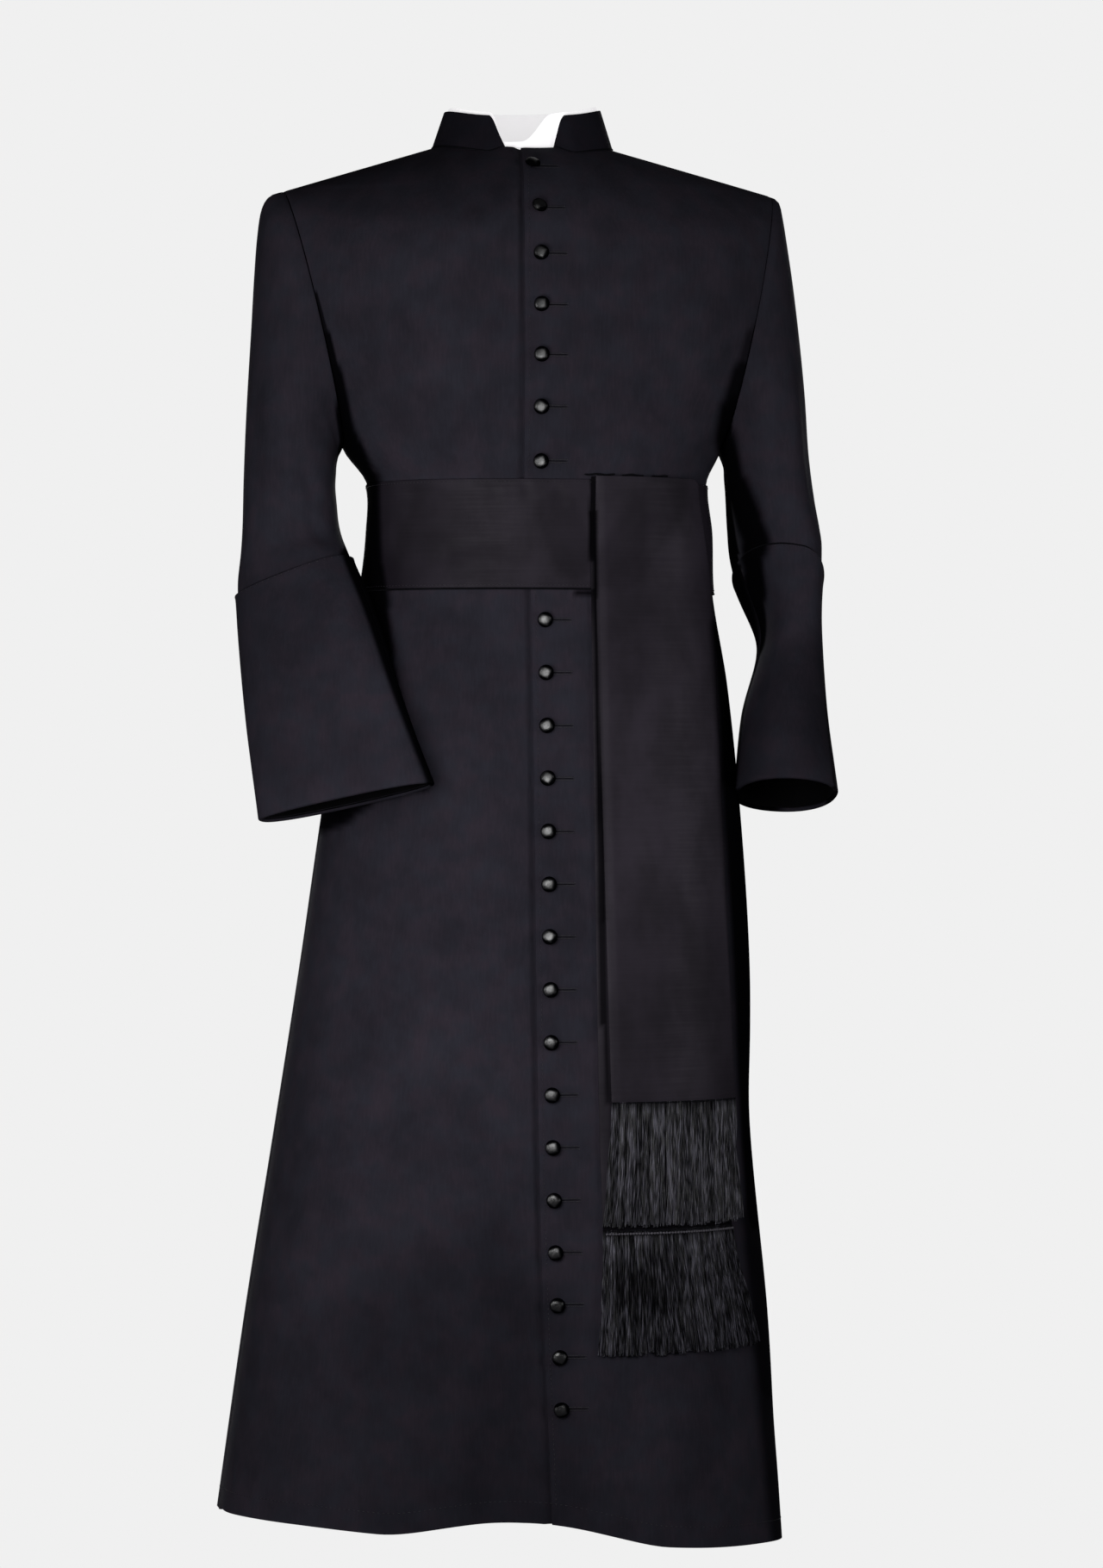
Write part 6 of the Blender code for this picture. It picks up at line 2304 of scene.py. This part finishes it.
        # Stitches in a lighter copy of the thread: a painted highlight along the lower fringe's head.
        self.stitches("stitches_fringes", [row], STITCHES["fringes"], self.highlight_thread)
        sides = [partial(of, side) for of in (self.side_seam, self.shoulder_seam) for side in Side]
        self.seam("seams_body", [*sides, self.back_seam], SEAM_SHADOW_CORDS["body"])
        below, bottom, top = (partial(self.sash_row, silk, v) for v in (1.009, 0.975, 0.025))
        self.seam("seam_sash", [below], SEAM_SHADOW_CORDS["sash"])
        rows = {"sash": [bottom, top], "front": [self.front_edge],
                "hem": [partial(self.hem, face) for face in Face]}
        for name, lines in rows.items():
            self.stitches(f"stitches_{name}", lines, STITCHES[name], self.thread)


# ---- Studio ----
class Lamp(NamedTuple):
    """One soft round lamp, aimed at the middle of the garment."""
    name: str
    place: Point
    size: float
    power: float


LAMPS = (
    Lamp("left", (-3.0, -0.9, -0.7), size=1.2, power=20.0),
    Lamp("front", (-0.42, -1.10, -0.68), size=0.6, power=8.2),
    Lamp("chest", (-0.2, -1.35, -0.30), size=0.8, power=2.8),
    Lamp("high", (-0.4, -2.4, 0.7), size=1.2, power=7.0),
    Lamp("right", (2.6, -1.8, -0.55), size=1.2, power=24.0),
    Lamp("rear_left", (1.2, 3.0, 0.0), size=1.8, power=26.0),
    Lamp("rear_right", (-0.4, 3.4, -0.9), size=1.8, power=24.0),
)


@dataclass
class Studio:
    """Pale floor and backdrop, soft lamps, and the camera."""
    turn: float = -8.0
    distance: float = 5.0
    aim_z: float = -0.6615
    aim_across: float = 0.0306
    view_height: float = 1.638
    sensor: float = 36
    floor_z: float = -1.62
    paper: float = 0.871
    room: float = 24.0
    air: float = 0.06
    lamp_aim_z: float = -0.7

    def camera(self) -> None:
        """Sets the camera."""
        turn = radians(self.turn)
        forward = Vector((-sin(turn), cos(turn), 0))
        right = Vector((cos(turn), sin(turn), 0))
        aim = Vector((0, 0, self.aim_z)) + right * self.aim_across
        data = bpy.data.cameras.new("camera")
        data.sensor_fit = "VERTICAL"
        data.sensor_height = self.sensor
        data.lens = self.sensor * self.distance / self.view_height
        camera = linked("camera", data)
        camera.location = aim - forward * self.distance
        camera.rotation_euler = (radians(90), 0, turn)
        bpy.context.scene.camera = camera

    def paper_finish(self) -> Material:
        """Makes the even, pale paper of the floor and backdrop."""
        graph = Graph("paper")
        return graph.dress(Base_Color=(0, 0, 0, 1), Roughness=1.0, Specular_IOR_Level=0.0,
                           Emission_Color=tone((1, 1, 1), self.paper), Emission_Strength=1.0)

    def put(self, name: str, bm: BMesh, material: Material) -> None:
        """Sets up one part of the stage, which only the camera sees."""
        mesh = mesh_of(name, bm)
        mesh.materials.append(material)
        part = linked(name, mesh)
        for ray in ("diffuse", "glossy", "transmission", "volume_scatter", "shadow"):
            setattr(part, f"visible_{ray}", False)

    def backdrop(self) -> None:
        """Makes the floor and the round backdrop."""
        paper = self.paper_finish()
        bm = bmesh.new()
        bmesh.ops.create_grid(bm, x_segments=1, y_segments=1, size=self.room)
        bmesh.ops.translate(bm, verts=bm.verts, vec=(0, 0, self.floor_z))
        self.put("floor", bm, paper)
        bm = bmesh.new()
        bmesh.ops.create_icosphere(bm, subdivisions=4, radius=self.room)
        bmesh.ops.reverse_faces(bm, faces=bm.faces)
        self.put("cove", bm, paper)

    def light(self, lamp: Lamp) -> None:
        """Adds one lamp, which the camera doesn't see."""
        data = bpy.data.lights.new(lamp.name, "AREA")
        data.shape = "DISK"
        data.size = lamp.size
        data.energy = lamp.power
        light = linked(lamp.name, data)
        light.location = lamp.place
        aim = Vector((0, 0, self.lamp_aim_z)) - Vector(lamp.place)
        light.rotation_euler = aim.to_track_quat("-Z", "Y").to_euler()
        light.visible_camera = False

    def build(self) -> None:
        """Sets up the studio."""
        self.camera()
        self.backdrop()
        for lamp in LAMPS:
            self.light(lamp)
        world = bpy.data.worlds.new("studio")
        world.use_nodes = True
        inputs = world.node_tree.nodes["Background"].inputs
        inputs["Color"].default_value = (1, 1, 1, 1)
        inputs["Strength"].default_value = self.air
        bpy.context.scene.world = world
        bpy.context.scene.view_settings.view_transform = "Standard"


def main() -> None:
    """Builds the garment."""
    logging.basicConfig(level=logging.INFO, format="%(name)s: %(message)s")
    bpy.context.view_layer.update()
    Studio().build()
    cloth, silk, linen = WoolFinish().build(), SilkFinish().build(), LinenFinish().build()
    strands, cover, thread = StrandFinish().build(), ButtonFinish().build(), ThreadFinish().build()
    # A lighter copy of the black thread, for a painted highlight.
    highlight_thread = ThreadFinish("painted_highlight_thread", (0.040, 0.037, 0.046)).build()
    lining, dark = LiningFinish().build(), SeamShadowFinish().build()
    for face, columns, rows in ((Face.FRONT, 92, 280), (Face.BACK, 72, 250)):
        for side in Side:
            word = f"{face.name}_{side.name}".lower()
            underlap = 0.030 if word == "front_right" else 0.0
            Panel(word, face, side, cloth, lining, columns, rows, underlap).build()
    sleeves = [Sleeve("left", Side.LEFT, cloth, lining), Sleeve("right", Side.RIGHT, cloth, lining)]
    for sleeve in sleeves:
        sleeve.build()
    # The collar's wool in a darker copy of the cloth: painted shade.
    neck = Neck(WoolFinish("collar_cloth", (0.0074, 0.0069, 0.0104)).build(), linen)
    neck.collar()
    neck.band()
    layers = Silk(silk)
    layers.sash()
    lower = Fringe("lower", layers, strands, fan_inner=0.006, fan_outer=0.031, seed=8, painted_shade=0.12)
    upper = Fringe("upper", layers, strands, fan_inner=0.008, fan_outer=0.003, seed=7, painted_shade=0.0)
    for fringe in (lower, upper):
        layers.streamer(fringe.word, fringe.build())
    buttons = Buttons(cover)
    buttons.build()
    Needlework(thread, highlight_thread, dark).build(sleeves, neck, layers, buttons)


if __name__ == "__main__":
    main()
